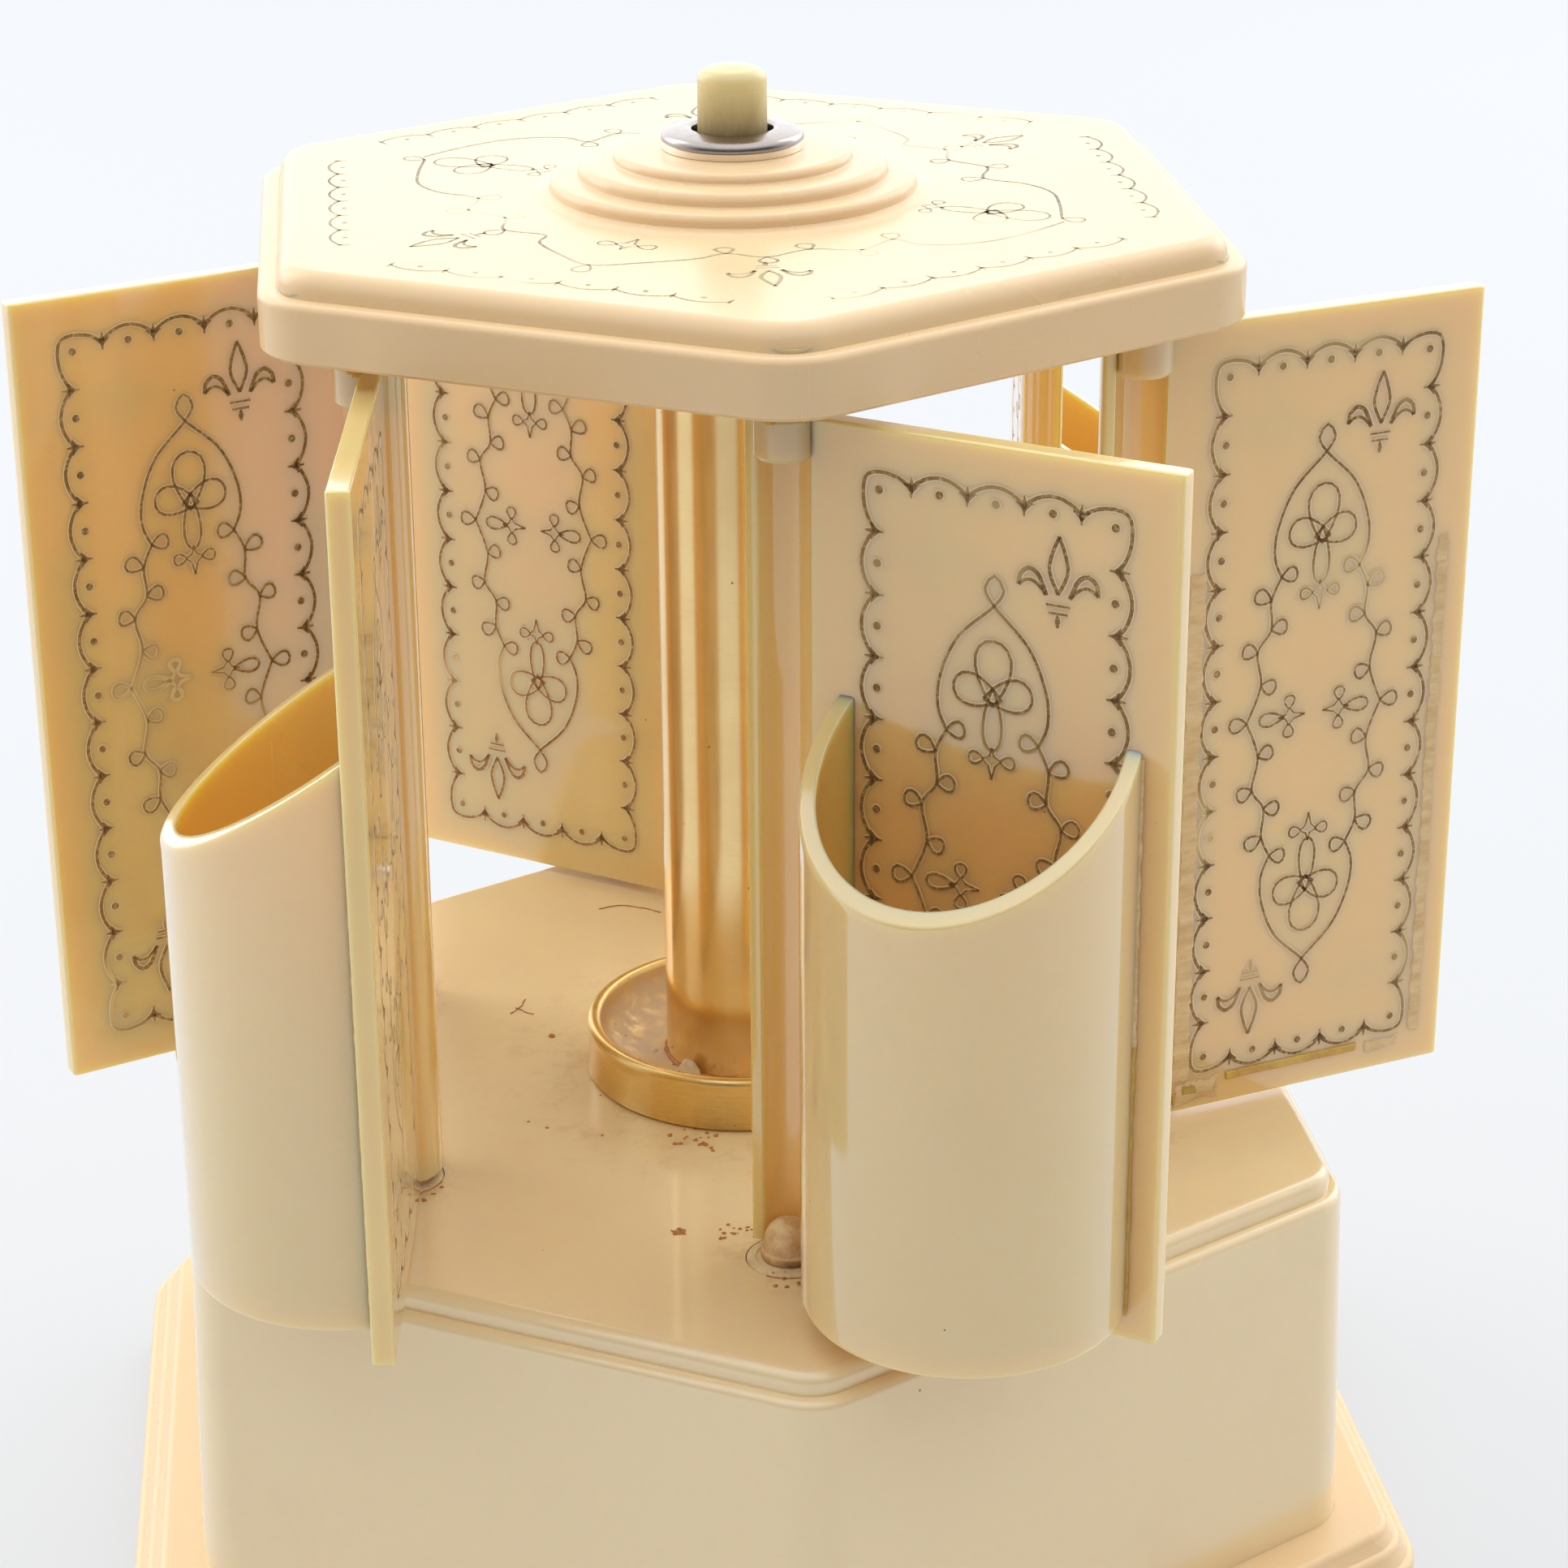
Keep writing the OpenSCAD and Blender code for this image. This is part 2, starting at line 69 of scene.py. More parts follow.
DECK = high("base_body")
BODY_Z = low("base_body")
PLINTH_Z = low("plinth")
PLINTH_TOP = high("plinth")
LID_Z = low("lid")
DOME_TOP = high("lid")
LID_TOP = DOME_TOP - 6.3
SKIRT_TOP = LID_Z + 8.5
LID_UNDER = LID_Z + 9.1
DOOR_Z = low("door_panel_1")
DOOR_TOP = high("door_panel_1")
BEZEL_TOP = high("bezel_ring")
BUTTON_TOP = high("button")
DISH_TOP = high("column_foot")

# Hexagons as (corner radius before rounding, fillet)
PLINTH_HEX = (116, 12)
PLINTH_WELL = (86, 6)
PLINTH_HOLLOW = (102, 6)
BODY_HEX = (100.6, 9.6)
BODY_HOLLOW = (97.1, 6)
LID_HEX = (80, 12)
LID_HOLLOW = (76.5, 6)
DECK_UNDER = DECK - 4.2

PIVOT_R = 64
DOOR_OPEN = 54.6
DOOR_2_LAG = 6.6
DOOR_W = 57.9
DOOR_T = 3.3
CHANNEL_R = 6.2
CHANNEL_BORE = 4.2
CUP_R = 23.0
CUP_WALL = 2.4
CUP_S = 30.8
CUP_N = 4.8
CUP_Z = low("cup_1")
RIM_Z = 167.2
RIM_SLOPE = 0.66
ORNAMENT_S = 31.5
ORNAMENT_Z = 142.5


# ---------------- camera and light
# Fitted to the photo: place in mm, then azimuth, pitch and roll in degrees
CAMERA_AT = (-54.45, -546.76, 353.92)
CAMERA_WAY = (83.595, 22.533, -0.39)
CAMERA_LENS = 87.26
SOFT_BOX = (0.9, 1.3)
LIT_POINT = Vector((0, 0, 0.12))


def camera_matrix(at, azimuth, pitch, roll):
    """Looks along azimuth (from +X, anticlockwise) and pitch below the horizon, in degrees."""
    a, p, r = (math.radians(v) for v in (azimuth, pitch, roll))
    ahead = Vector((math.cos(a) * math.cos(p), math.sin(a) * math.cos(p), -math.sin(p)))
    right = Vector((math.sin(a), -math.cos(a), 0))
    up = right.cross(ahead)
    side = math.cos(r) * right + math.sin(r) * up
    head = math.cos(r) * up - math.sin(r) * right
    turn = Matrix((side, head, -ahead)).transposed().to_4x4()
    return Matrix.Translation(Vector(at) * MM) @ turn


def make_camera():
    data = bpy.data.cameras.new("camera")
    data.sensor_width = 36
    data.lens = CAMERA_LENS
    data.clip_start = 0.01
    data.clip_end = 50
    camera = bpy.data.objects.new("camera", data)
    bpy.context.scene.collection.objects.link(camera)
    camera.matrix_world = camera_matrix(CAMERA_AT, *CAMERA_WAY)
    bpy.context.scene.camera = camera


def soft_box(name, at, power):
    """White rectangular light at a place in metres, turned to the middle of the object."""
    data = bpy.data.lights.new(name, "AREA")
    data.shape = "RECTANGLE"
    data.size, data.size_y = SOFT_BOX
    data.energy = power
    light = bpy.data.objects.new(name, data)
    bpy.context.scene.collection.objects.link(light)
    light.location = at
    light.rotation_mode = "QUATERNION"
    light.rotation_quaternion = (LIT_POINT - Vector(at)).to_track_quat("-Z", "Y")


def make_world(front, back, top):
    """Soft studio surround: one radiance on the camera's side, one behind and one overhead."""
    world = bpy.data.worlds.new("studio")
    bpy.context.scene.world = world
    world.use_nodes = True
    tree = world.node_tree
    way = add_node(tree, "SeparateXYZ", {
        "Vector": add_node(tree, "TexCoord").outputs["Generated"]})
    round_it = ramp(tree, way.outputs["Y"], -0.5, 0.6, front, back)
    overhead = ramp(tree, way.outputs["Z"], 0.35, 0.85)
    level = add_node(tree, "Mix", {0: overhead, 2: round_it, 3: top}).outputs[0]
    feed(tree, tree.nodes["Background"], {"Color": (0.94, 0.965, 1.0, 1), "Strength": level})


# ---------------- shader helpers
def feed(tree, node, inputs):
    """Sets inputs to values, or links them to sockets."""
    for key, value in inputs.items():
        if isinstance(value, bpy.types.NodeSocket):
            tree.links.new(value, node.inputs[key])
        else:
            node.inputs[key].default_value = value


def add_node(tree, kind, inputs=None, **settings):
    made = tree.nodes.new("ShaderNode" + kind)
    for key, value in settings.items():
        setattr(made, key, value)
    feed(tree, made, inputs or {})
    return made


def new_material(name):
    material = bpy.data.materials.new(name)
    material.use_nodes = True
    tree = material.node_tree
    return material, tree, tree.nodes["Principled BSDF"]


def place(tree, stretch=(1, 1, 1)):
    """Object coordinates in metres, stretched along the axes."""
    coordinates = add_node(tree, "TexCoord").outputs["Object"]
    if stretch == (1, 1, 1):
        return coordinates
    mapping = add_node(tree, "Mapping", {"Vector": coordinates, "Scale": stretch})
    return mapping.outputs["Vector"]


def noise(tree, scale, detail=3.0, roughness=0.5, stretch=(1, 1, 1)):
    made = add_node(tree, "TexNoise", {
        "Vector": place(tree, stretch), "Scale": scale, "Detail": detail, "Roughness": roughness})
    return made.outputs["Fac"]


def ramp(tree, value, start, end, low_value=0.0, high_value=1.0):
    """value from start to end becomes low_value to high_value, held outside."""
    made = add_node(tree, "MapRange", {
        "Value": value, "From Min": start, "From Max": end,
        "To Min": low_value, "To Max": high_value})
    return made.outputs["Result"]


def math_node(tree, operation, a, b=0.0):
    return add_node(tree, "Math", {0: a, 1: b}, operation=operation).outputs[0]


def mix(tree, factor, a, b):
    """Colour a where factor is 0 and b where it is 1."""
    first, second = (v if isinstance(v, bpy.types.NodeSocket) else (*v, 1) for v in (a, b))
    made = add_node(tree, "Mix", {0: factor}, data_type="RGBA")
    feed(tree, made, {6: first, 7: second})
    return made.outputs[2]


def bump(tree, height, strength, distance, normal=None):
    inputs = {"Height": height, "Strength": strength, "Distance": distance}
    if normal is not None:
        inputs["Normal"] = normal
    return add_node(tree, "Bump", inputs).outputs["Normal"]


def specks(tree, scale, radius, share):
    """1 in small round specks: one voronoi cell in so many holds one of radius, in cells."""
    cells = add_node(tree, "TexVoronoi", {"Vector": place(tree), "Scale": scale})
    inside = math_node(tree, "LESS_THAN", cells.outputs["Distance"], radius)
    colour = add_node(tree, "SeparateColor", {"Color": cells.outputs["Color"]})
    chosen = math_node(tree, "GREATER_THAN", colour.outputs[0], 1 - share)
    return math_node(tree, "MULTIPLY", inside, chosen)


def height_mask(tree, bottom, top):
    """1 below bottom and 0 above top, in millimetres of the rest position."""
    parts = add_node(tree, "SeparateXYZ", {"Vector": place(tree)})
    return ramp(tree, parts.outputs["Z"], bottom * MM, top * MM, 1, 0)


# ---------------- materials
def glow_through(shader, weight, radius_mm, tint=(1.0, 0.68, 0.26)):
    """Light carried inside the plastic, red farthest, so that thin walls shine orange."""
    shader.inputs["Subsurface Weight"].default_value = weight
    shader.inputs["Subsurface Radius"].default_value = tint
    shader.inputs["Subsurface Scale"].default_value = radius_mm * MM


def near_axis(tree, x, y, inner, outer):
    """1 within inner and 0 beyond outer millimetres of the upright line at x, y."""
    flat = add_node(tree, "VectorMath", {
        0: place(tree), 1: (1, 1, 0)}, operation="MULTIPLY").outputs["Vector"]
    away = add_node(tree, "VectorMath", {
        0: flat, 1: (x * MM, y * MM, 0)}, operation="DISTANCE").outputs["Value"]
    return ramp(tree, away, inner * MM, outer * MM, 1, 0)


def ivory_plastic(name, light, yellow, grime, roughness=(0.07, 0.15), stains=(), reach=5.0,
                  inside=1.0, coat=1.0, shine=0.9):
    """Ivory plastic: faintly yellowed, hairline scratches, few specks, and stains round places.

    Light reaches so many millimetres into it, with weight inside; coat and shine are its gloss.
    """
    material, tree, shader = new_material(name)
    colour = mix(tree, ramp(tree, noise(tree, 9, 2, 0.4), 0.3, 0.7), light, yellow)
    haze = ramp(tree, noise(tree, 38, 4, 0.6), 0.5, 0.9, 0, grime * 0.5)
    colour = mix(tree, haze, colour, (0.58, 0.40, 0.19))
    for x, y, spread in stains:
        stain = math_node(tree, "MULTIPLY", near_axis(tree, x, y, spread * 0.4, spread),
                          ramp(tree, noise(tree, 170, 6, 0.68), 0.5, 0.72, 0, 0.6))
        colour = mix(tree, stain, colour, (0.46, 0.27, 0.11))
    dots = math_node(tree, "ADD", specks(tree, 130, 0.035, 0.05), specks(tree, 310, 0.05, 0.03))
    colour = mix(tree, math_node(tree, "MULTIPLY", dots, 0.8), colour, (0.20, 0.11, 0.05))
    hairs = ramp(tree, noise(tree, 1800, 1, 0.4, (1, 1, 0.03)), 0.74, 0.76, 0, 0.03)
    rough = ramp(tree, noise(tree, 24, 3, 0.5), 0.25, 0.75, *roughness)
    feed(tree, shader, {
        "Base Color": colour, "Roughness": math_node(tree, "ADD", rough, hairs), "IOR": 1.55,
        "Specular IOR Level": shine, "Coat Weight": coat, "Coat Roughness": 0.06,
        "Normal": bump(tree, noise(tree, 55, 1, 0.3), 0.03, 0.0006)})
    if reach:
        glow_through(shader, inside, reach)
    return material


def ink(name, dark, faded, plastic, loss):
    """Brown ink left in a pressed line, grainy, thin and worn through in places."""
    material, tree, shader = new_material(name)
    tone = mix(tree, ramp(tree, noise(tree, 55, 3), 0.35, 0.65), dark, faded)
    grain = ramp(tree, noise(tree, 1500, 4, 0.7), 0.5 - loss * 0.15, 0.7)
    gone = ramp(tree, noise(tree, 34, 2), 0.62 - loss * 0.24, 0.74 - loss * 0.2, 0, 0.85)
    worn = math_node(tree, "MAXIMUM", math_node(tree, "MULTIPLY", grain, 0.6), gone)
    feed(tree, shader, {
        "Base Color": mix(tree, worn, tone, plastic), "Roughness": ramp(tree, worn, 0, 1, 0.55, 0.3),
        "Specular IOR Level": 0.35, "Normal": bump(tree, grain, 0.2, 0.00005)})
    return material


def gilt_metal(name, colour, dark, roughness, stretch=(1, 1, 1), dusty_r=None):
    """Metal with fine marks along one way, tarnish and pits, and dust within dusty_r of the axis."""
    material, tree, shader = new_material(name)
    marks = noise(tree, 700, 4, 0.6, stretch)
    tarnish = ramp(tree, noise(tree, 26, 5, 0.6), 0.46, 0.74, 0, 0.45)
    tone = mix(tree, tarnish, colour, dark)
    tone = mix(tree, ramp(tree, marks, 0.56, 0.78, 0, 0.28), tone, dark)
    pits = specks(tree, 520, 0.09, 0.06)
    tone = mix(tree, math_node(tree, "MULTIPLY", pits, 0.8), tone, (0.12, 0.07, 0.03))
    rough = ramp(tree, marks, 0.25, 0.75, *roughness)
    metallic = 1
    if dusty_r:
        dust = math_node(tree, "MULTIPLY", near_axis(tree, 0, 0, dusty_r, dusty_r + 1),
                         ramp(tree, noise(tree, 330, 6, 0.72), 0.38, 0.54, 0.3, 0.9))
        dust_tone = mix(tree, specks(tree, 700, 0.22, 0.12), (0.72, 0.56, 0.40), (0.20, 0.12, 0.06))
        tone = mix(tree, dust, tone, dust_tone)
        metallic = ramp(tree, dust, 0, 0.8, 1, 0.2)
        rough = math_node(tree, "ADD", rough, math_node(tree, "MULTIPLY", dust, 0.4))
    scratched = bump(tree, marks, 0.05, 0.00006)
    feed(tree, shader, {"Base Color": tone, "Metallic": metallic, "Roughness": rough,
                        "Normal": bump(tree, pits, 0.4, 0.00008, scratched)})
    return material


def rubber():
    material, tree, shader = new_material("foot_rubber")
    tone = mix(tree, noise(tree, 300, 4), (0.030, 0.028, 0.026), (0.075, 0.07, 0.065))
    feed(tree, shader, {"Base Color": tone, "Roughness": 0.8,
                        "Normal": bump(tree, noise(tree, 1500, 2), 0.3, 0.0002)})
    return material


def glue(name, pale, dark, stretch=(1, 1, 1), scale=240, inside=0.4):
    """Old brittle glue, amber where thin and brown where dirt sticks to it."""
    material, tree, shader = new_material(name)
    tone = mix(tree, ramp(tree, noise(tree, scale, 5, 0.7, stretch), 0.35, 0.68), pale, dark)
    feed(tree, shader, {
        "Base Color": tone, "Roughness": ramp(tree, noise(tree, 400, 3), 0.3, 0.7, 0.3, 0.65),
        "Normal": bump(tree, noise(tree, 900, 3, 0.5, stretch), 0.4, 0.0002)})
    glow_through(shader, inside, 2.0, (1.0, 0.4, 0.1))
    return material


def button_plastic():
    """Greenish ivory button, olive with grime where it slides in the bezel."""
    material, tree, shader = new_material("button_plastic")
    tone = mix(tree, ramp(tree, noise(tree, 60, 4), 0.35, 0.65), (0.84, 0.72, 0.37), (0.78, 0.65, 0.30))
    mottle = ramp(tree, noise(tree, 190, 5, 0.65, (1, 1, 0.35)), 0.4, 0.6, 0.45, 0.9)
    grime = math_node(tree, "MULTIPLY", height_mask(tree, BEZEL_TOP + 0.5, BEZEL_TOP + 6.6), mottle)
    tone = mix(tree, grime, tone, (0.42, 0.28, 0.11))
    feed(tree, shader, {
        "Base Color": tone, "Roughness": ramp(tree, grime, 0, 0.9, 0.25, 0.5),
        "Normal": bump(tree, noise(tree, 500, 3), 0.1, 0.0001)})
    glow_through(shader, 0.4, 2.5, (1.0, 0.65, 0.2))
    return material


def dirty_plastic(name, clean, dust, dirt, dark_band_top):
    """Small ivory part with grey-pink dust over it, darker low down: dirt caught there on the bush rings,
    painted shade of the gap on the hubs.
    """
    material, tree, shader = new_material(name)
    tone = mix(tree, ramp(tree, noise(tree, 260, 5, 0.7), 0.36, 0.64), clean, dust)
    # Darker low down: real dirt on the bush rings, painted shade on the hubs
    low_dirt_and_shade = math_node(tree, "MULTIPLY", height_mask(tree, dark_band_top - 1.2, dark_band_top),
                       ramp(tree, noise(tree, 150, 5, 0.7), 0.4, 0.56, 0.1, 0.95))
    tone = mix(tree, low_dirt_and_shade, tone, dirt)
    feed(tree, shader, {"Base Color": tone, "Roughness": 0.5,
                        "Normal": bump(tree, noise(tree, 800, 4, 0.6), 0.3, 0.0001)})
    glow_through(shader, 0.3, 1.5)
    return material


def make_materials():
    ivory, yellowed = (0.91, 0.665, 0.39), (0.90, 0.64, 0.355)
    thin, thin_yellowed = (0.81, 0.625, 0.265), (0.80, 0.60, 0.24)
    metal_marks = (0.4, 0.4, 14)
    bushes = [(*polar(PIVOT_R, corner_angle(n)), 13) for n in DOORS]
    return {
        "moulding": ivory_plastic("ivory_moulding", ivory, yellowed, 0.2, (0.2, 0.3), reach=0.6,
                                  inside=0.5, coat=0.0, shine=0.45),
        "deck": ivory_plastic("ivory_base", (0.97, 0.755, 0.46), (0.96, 0.73, 0.42), 0.3,
                              (0.15, 0.25), [(0, 0, 47), *bushes], reach=0.6, inside=0.5, coat=0.5),
        "cup": ivory_plastic("ivory_cup", (0.89, 0.65, 0.34), (0.88, 0.63, 0.31), 0.2),
        # Inside faces of the cups: a deeper orange than the outside of the same plastic, painted glow of
        # light bounced inside the cup and carried through its walls
        "painted_glow_cup": ivory_plastic("ivory_cup_painted_glow", (0.95, 0.66, 0.20), (0.93, 0.63, 0.18), 0.3,
                                    (0.2, 0.3), coat=0.3),
        "panel": ivory_plastic("ivory_panel", thin, thin_yellowed, 0.25),
        "lip": ivory_plastic("ivory_lip", thin, thin_yellowed, 0.25, reach=0),
        "inner": ivory_plastic("ivory_inner", (0.80, 0.63, 0.36), (0.74, 0.55, 0.29), 0.8, (0.3, 0.5)),
        # Darker below DECK + 1.9: painted shade of the gap between the hub's lip and the bush ring, broken
        # up by noise
        "hub": dirty_plastic("ivory_hub", (0.98, 0.77, 0.46), (0.70, 0.38, 0.15), (0.30, 0.15, 0.05),
                             DECK + 1.9),
        "bush": dirty_plastic("ivory_bush", (0.97, 0.80, 0.50), (0.92, 0.72, 0.42), (0.45, 0.25, 0.10),
                              DECK + 0.5),
        "door_ink": ink("door_ink", (0.22, 0.11, 0.035), (0.36, 0.195, 0.07), (0.84, 0.63, 0.30), 0.25),
        "lid_ink": ink("lid_ink", (0.20, 0.155, 0.06), (0.36, 0.28, 0.12), (0.82, 0.62, 0.34), 0.5),
        "gold": gilt_metal("column_gold", (0.93, 0.68, 0.33), (0.66, 0.42, 0.15), (0.13, 0.23),
                           metal_marks),
        "dish": gilt_metal("dish_gold", (0.88, 0.63, 0.25), (0.52, 0.32, 0.09), (0.22, 0.40),
                           metal_marks, 22.2),
        "chrome": gilt_metal("bezel_chrome", (0.44, 0.39, 0.36), (0.28, 0.24, 0.215), (0.16, 0.3)),
        "washer": gilt_metal("washer_brass", (1.0, 0.90, 0.76), (0.88, 0.70, 0.50), (0.3, 0.5)),
        "brass": gilt_metal("movement_brass", (0.78, 0.62, 0.34), (0.48, 0.33, 0.15), (0.2, 0.4)),
        "steel": gilt_metal("steel", (0.62, 0.62, 0.61), (0.36, 0.33, 0.30), (0.28, 0.45), (1, 0.1, 1)),
        "rubber": rubber(),
        "glue": glue("old_glue", (0.84, 0.50, 0.10), (0.60, 0.30, 0.05)),
        "film": glue("glue_film", (0.88, 0.65, 0.34), (0.70, 0.45, 0.19), (1, 1, 4), 150, 0.0),
        "dirt": glue("deck_dirt", (0.72, 0.30, 0.07), (0.34, 0.15, 0.04), inside=0.0),
        "dust": glue("dish_dust", (0.90, 0.72, 0.48), (0.66, 0.48, 0.30), inside=0.0),
        "button": button_plastic(),
    }


# ---------------- mesh helpers
def new_piece(name, parts, materials, body, replaces=(), sharp=34, shift=None):
    """One object from parts = [(points in mm, faces, material index)], smooth with sharp edges."""
    mesh = bpy.data.meshes.new(name)
    points, faces, indices = [], [], []
    for part_points, part_faces, index in parts:
        start = len(points)
        points.extend(part_points)
        faces.extend([tuple(i + start for i in face) for face in part_faces])
        indices.extend(index if isinstance(index, list) else [index] * len(part_faces))
    move = shift or Matrix.Identity(4)
    mesh.from_pydata([(move @ Vector(p)) * MM for p in points], [], faces)
    for material in materials:
        mesh.materials.append(material)
    mesh.polygons.foreach_set("material_index", indices)
    mesh.polygons.foreach_set("use_smooth", [True] * len(faces))
    shell = bmesh.new()
    shell.from_mesh(mesh)
    bmesh.ops.remove_doubles(shell, verts=shell.verts, dist=1e-7)
    bmesh.ops.recalc_face_normals(shell, faces=shell.faces)
    shell.to_mesh(mesh)
    shell.free()
    mesh.set_sharp_from_angle(angle=math.radians(sharp))
    piece = bpy.data.objects.new(name, mesh)
    bpy.context.scene.collection.objects.link(piece)
    weighted = piece.modifiers.new("weighted_normals", "WEIGHTED_NORMAL")
    weighted.keep_sharp = True
    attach(piece, body)
    if replaces:
        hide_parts(*replaces)
    return piece


def polar(r, degrees):
    a = math.radians(degrees)
    return r * math.cos(a), r * math.sin(a)


def arc(cx, cy, r, start, end, steps):
    turns = [start + (end - start) * i / steps for i in range(steps + 1)]
    return [(cx + polar(r, t)[0], cy + polar(r, t)[1]) for t in turns]


def corner_angle(n):
    return -90 + 60 * (n - 1)


def hexagon(size, z):
    """Ring of a hexagon with rounded corners."""
    corner_steps, side_steps = 10, 6
    r, fillet = size
    corners = []
    for a in (corner_angle(n) for n in DOORS):
        corner = arc(*polar(r - fillet / COS30, a), fillet, a - 30, a + 30, corner_steps)
        corners.append([(x, y, z) for x, y in corner])
    ring = []
    for n in range(6):
        ring.extend(corners[n])
        start, end = Vector(corners[n][-1]), Vector(corners[(n + 1) % 6][0])
        ring.extend(tuple(start.lerp(end, i / side_steps)) for i in range(1, side_steps))
    return ring


def inset_hexagon(size, inset, z):
    return hexagon((size[0] - inset / COS30, max(size[1] - inset, 0.5)), z)


def circle_like(ring, r, z):
    """Circle whose points lie at the same angles as the ring's."""
    return [(*polar(r, math.degrees(math.atan2(p[1], p[0]))), z) for p in ring]


def circle(r, z, steps):
    return [(*polar(r, 360 * i / steps), z) for i in range(steps)]


def loft(rings, closed=False):
    """Quads between rings of the same length. Open lofts end in flat caps, closed ones meet."""
    count = len(rings[0])
    points = [p for ring in rings for p in ring]
    faces = []
    pairs = len(rings) if closed else len(rings) - 1
    for j in range(pairs):
        a, b = j * count, (j + 1) % len(rings) * count
        for i in range(count):
            k = (i + 1) % count
            faces.append((a + i, a + k, b + k, b + i))
    if not closed:
        faces.append(tuple(range(count - 1, -1, -1)))
        faces.append(tuple(range(len(points) - count, len(points))))
    return points, faces


def quarter(steps):
    return [math.radians(90 * i / steps) for i in range(steps + 1)]


def rounded_edge(inset, z, e, steps=6):
    """(inset, z) along a quarter round from a wall to the top at height z."""
    return [(inset + e * (1 - math.cos(t)), z - e * (1 - math.sin(t))) for t in quarter(steps)]


def turned(profile, at=(0, 0), steps=128, closed=False):
    """Surface of revolution through profile = [(radius, z)], about a vertical axis."""
    rings = [[(x + at[0], y + at[1], z) for x, y, z in circle(max(r, 0.01), z, steps)]
             for r, z in profile]
    return loft(rings, closed)


def door_matrix(n):
    """Door frame to row frame, in millimetres: +X along the door, cup side towards -Y."""
    lag = DOOR_2_LAG if n == 2 else 0
    return (Matrix.Rotation(math.radians(corner_angle(n)), 4, "Z")
            @ Matrix.Translation((PIVOT_R, 0, 0))
            @ Matrix.Rotation(math.radians(DOOR_OPEN - lag), 4, "Z"))


def door_piece(n, name, parts, materials, replaces=(), sharp=34):
    """A piece in the door frame of door n, whose number ends its name and the nodes it replaces."""
    new_piece(f"{name}_{n}", parts, materials, f"door_{n}",
              [f"{node}_{n}" for node in replaces], sharp, door_matrix(n))


def offset_outline(outline, inset):
    """Outline moved inwards by inset along its mitred normals."""
    count = len(outline)
    moved = []
    for i, (x, y) in enumerate(outline):
        before, after = Vector(outline[i - 1]), Vector(outline[(i + 1) % count])
        here = Vector((x, y))
        a, b = (here - before).normalized(), (after - here).normalized()
        inward = Vector((-a.y - b.y, a.x + b.x))
        scale = max(inward.length_squared / 2, 0.5)
        moved.append(tuple(here + inward * inset / scale))
    return moved


def extruded(outline, z0, z1, e):
    """Prism on an anticlockwise outline, with rounded upper and lower edges."""
    levels = [(e * (1 - math.sin(t)), z0 + e * (1 - math.cos(t))) for t in quarter(3)]
    levels += [(inset, z1 - (z - z0)) for inset, z in reversed(levels)]
    return loft([[(x, y, z) for x, y in offset_outline(outline, inset)] for inset, z in levels])


def cut_away(piece, points, faces):
    """Cuts a closed solid out of the piece, with its result kept in the mesh."""
    mesh = bpy.data.meshes.new("cutter")
    mesh.from_pydata([Vector(p) * MM for p in points], [], faces)
    cutter = bpy.data.objects.new("cutter", mesh)
    bpy.context.scene.collection.objects.link(cutter)
    boolean = piece.modifiers.new("cut", "BOOLEAN")
    boolean.operation = "DIFFERENCE"
    boolean.solver = "EXACT"
    boolean.object = cutter
    piece.modifiers.move(len(piece.modifiers) - 1, 0)
    weighted = piece.modifiers["weighted_normals"]
    weighted.show_viewport = False
    bpy.context.view_layer.update()
    result = bpy.data.meshes.new_from_object(piece.evaluated_get(bpy.context.evaluated_depsgraph_get()))
    piece.modifiers.remove(boolean)
    piece.data = result
    weighted.show_viewport = True
    result.set_sharp_from_angle(angle=math.radians(34))
    bpy.data.objects.remove(cutter)


# ---------------- base
def make_plinth(look):
    outer = [(0.6, PLINTH_Z), (0, PLINTH_Z + 0.6)]
    for inset, z in ((0, PLINTH_TOP - 5.4), (2.25, PLINTH_TOP - 2.6), (4.5, PLINTH_TOP)):
        outer.extend(rounded_edge(inset, z, 1.3))
    rings = [inset_hexagon(PLINTH_HEX, inset, z) for inset, z in outer]
    rings += [hexagon(PLINTH_WELL, PLINTH_TOP), hexagon(PLINTH_WELL, PLINTH_TOP - 3)]
    rings += [hexagon(PLINTH_HOLLOW, PLINTH_TOP - 3), hexagon(PLINTH_HOLLOW, PLINTH_Z)]
    new_piece("plinth_moulding", [(*loft(rings, closed=True), 0)], [look["moulding"]],
              "stand", ["plinth"])


def make_base_body(look):
    outer = [(-1.7, BODY_Z)] + rounded_edge(0, DECK - 3.4, 1.5)
    outer += [(1.9, DECK - 3.4)] + rounded_edge(1.9, DECK, 2)
    rings = [inset_hexagon(BODY_HEX, inset, z) for inset, z in outer]
    piece = new_piece("base_shell", [(*loft(rings), 0)], [look["deck"]],
                      "stand", ["base_body"])
    cut_away(piece, *loft([hexagon(BODY_HOLLOW, BODY_Z - 1), hexagon(BODY_HOLLOW, DECK_UNDER)]))
    holes = [(6.35, polar(PIVOT_R, corner_angle(n)), 48) for n in DOORS] + [(10.6, (0, 0), 64)]
    for r, at, steps in holes:
        cut_away(piece, *turned([(r, DECK_UNDER - 1), (r, DECK + 1)], at, steps))
    posts = [(*turned([(4.5, BODY_Z), (4.5, DECK_UNDER + 0.5)], polar(90, corner_angle(n)), 32), 0)
             for n in DOORS]
    new_piece("screw_posts", posts, [look["inner"]], "stand")


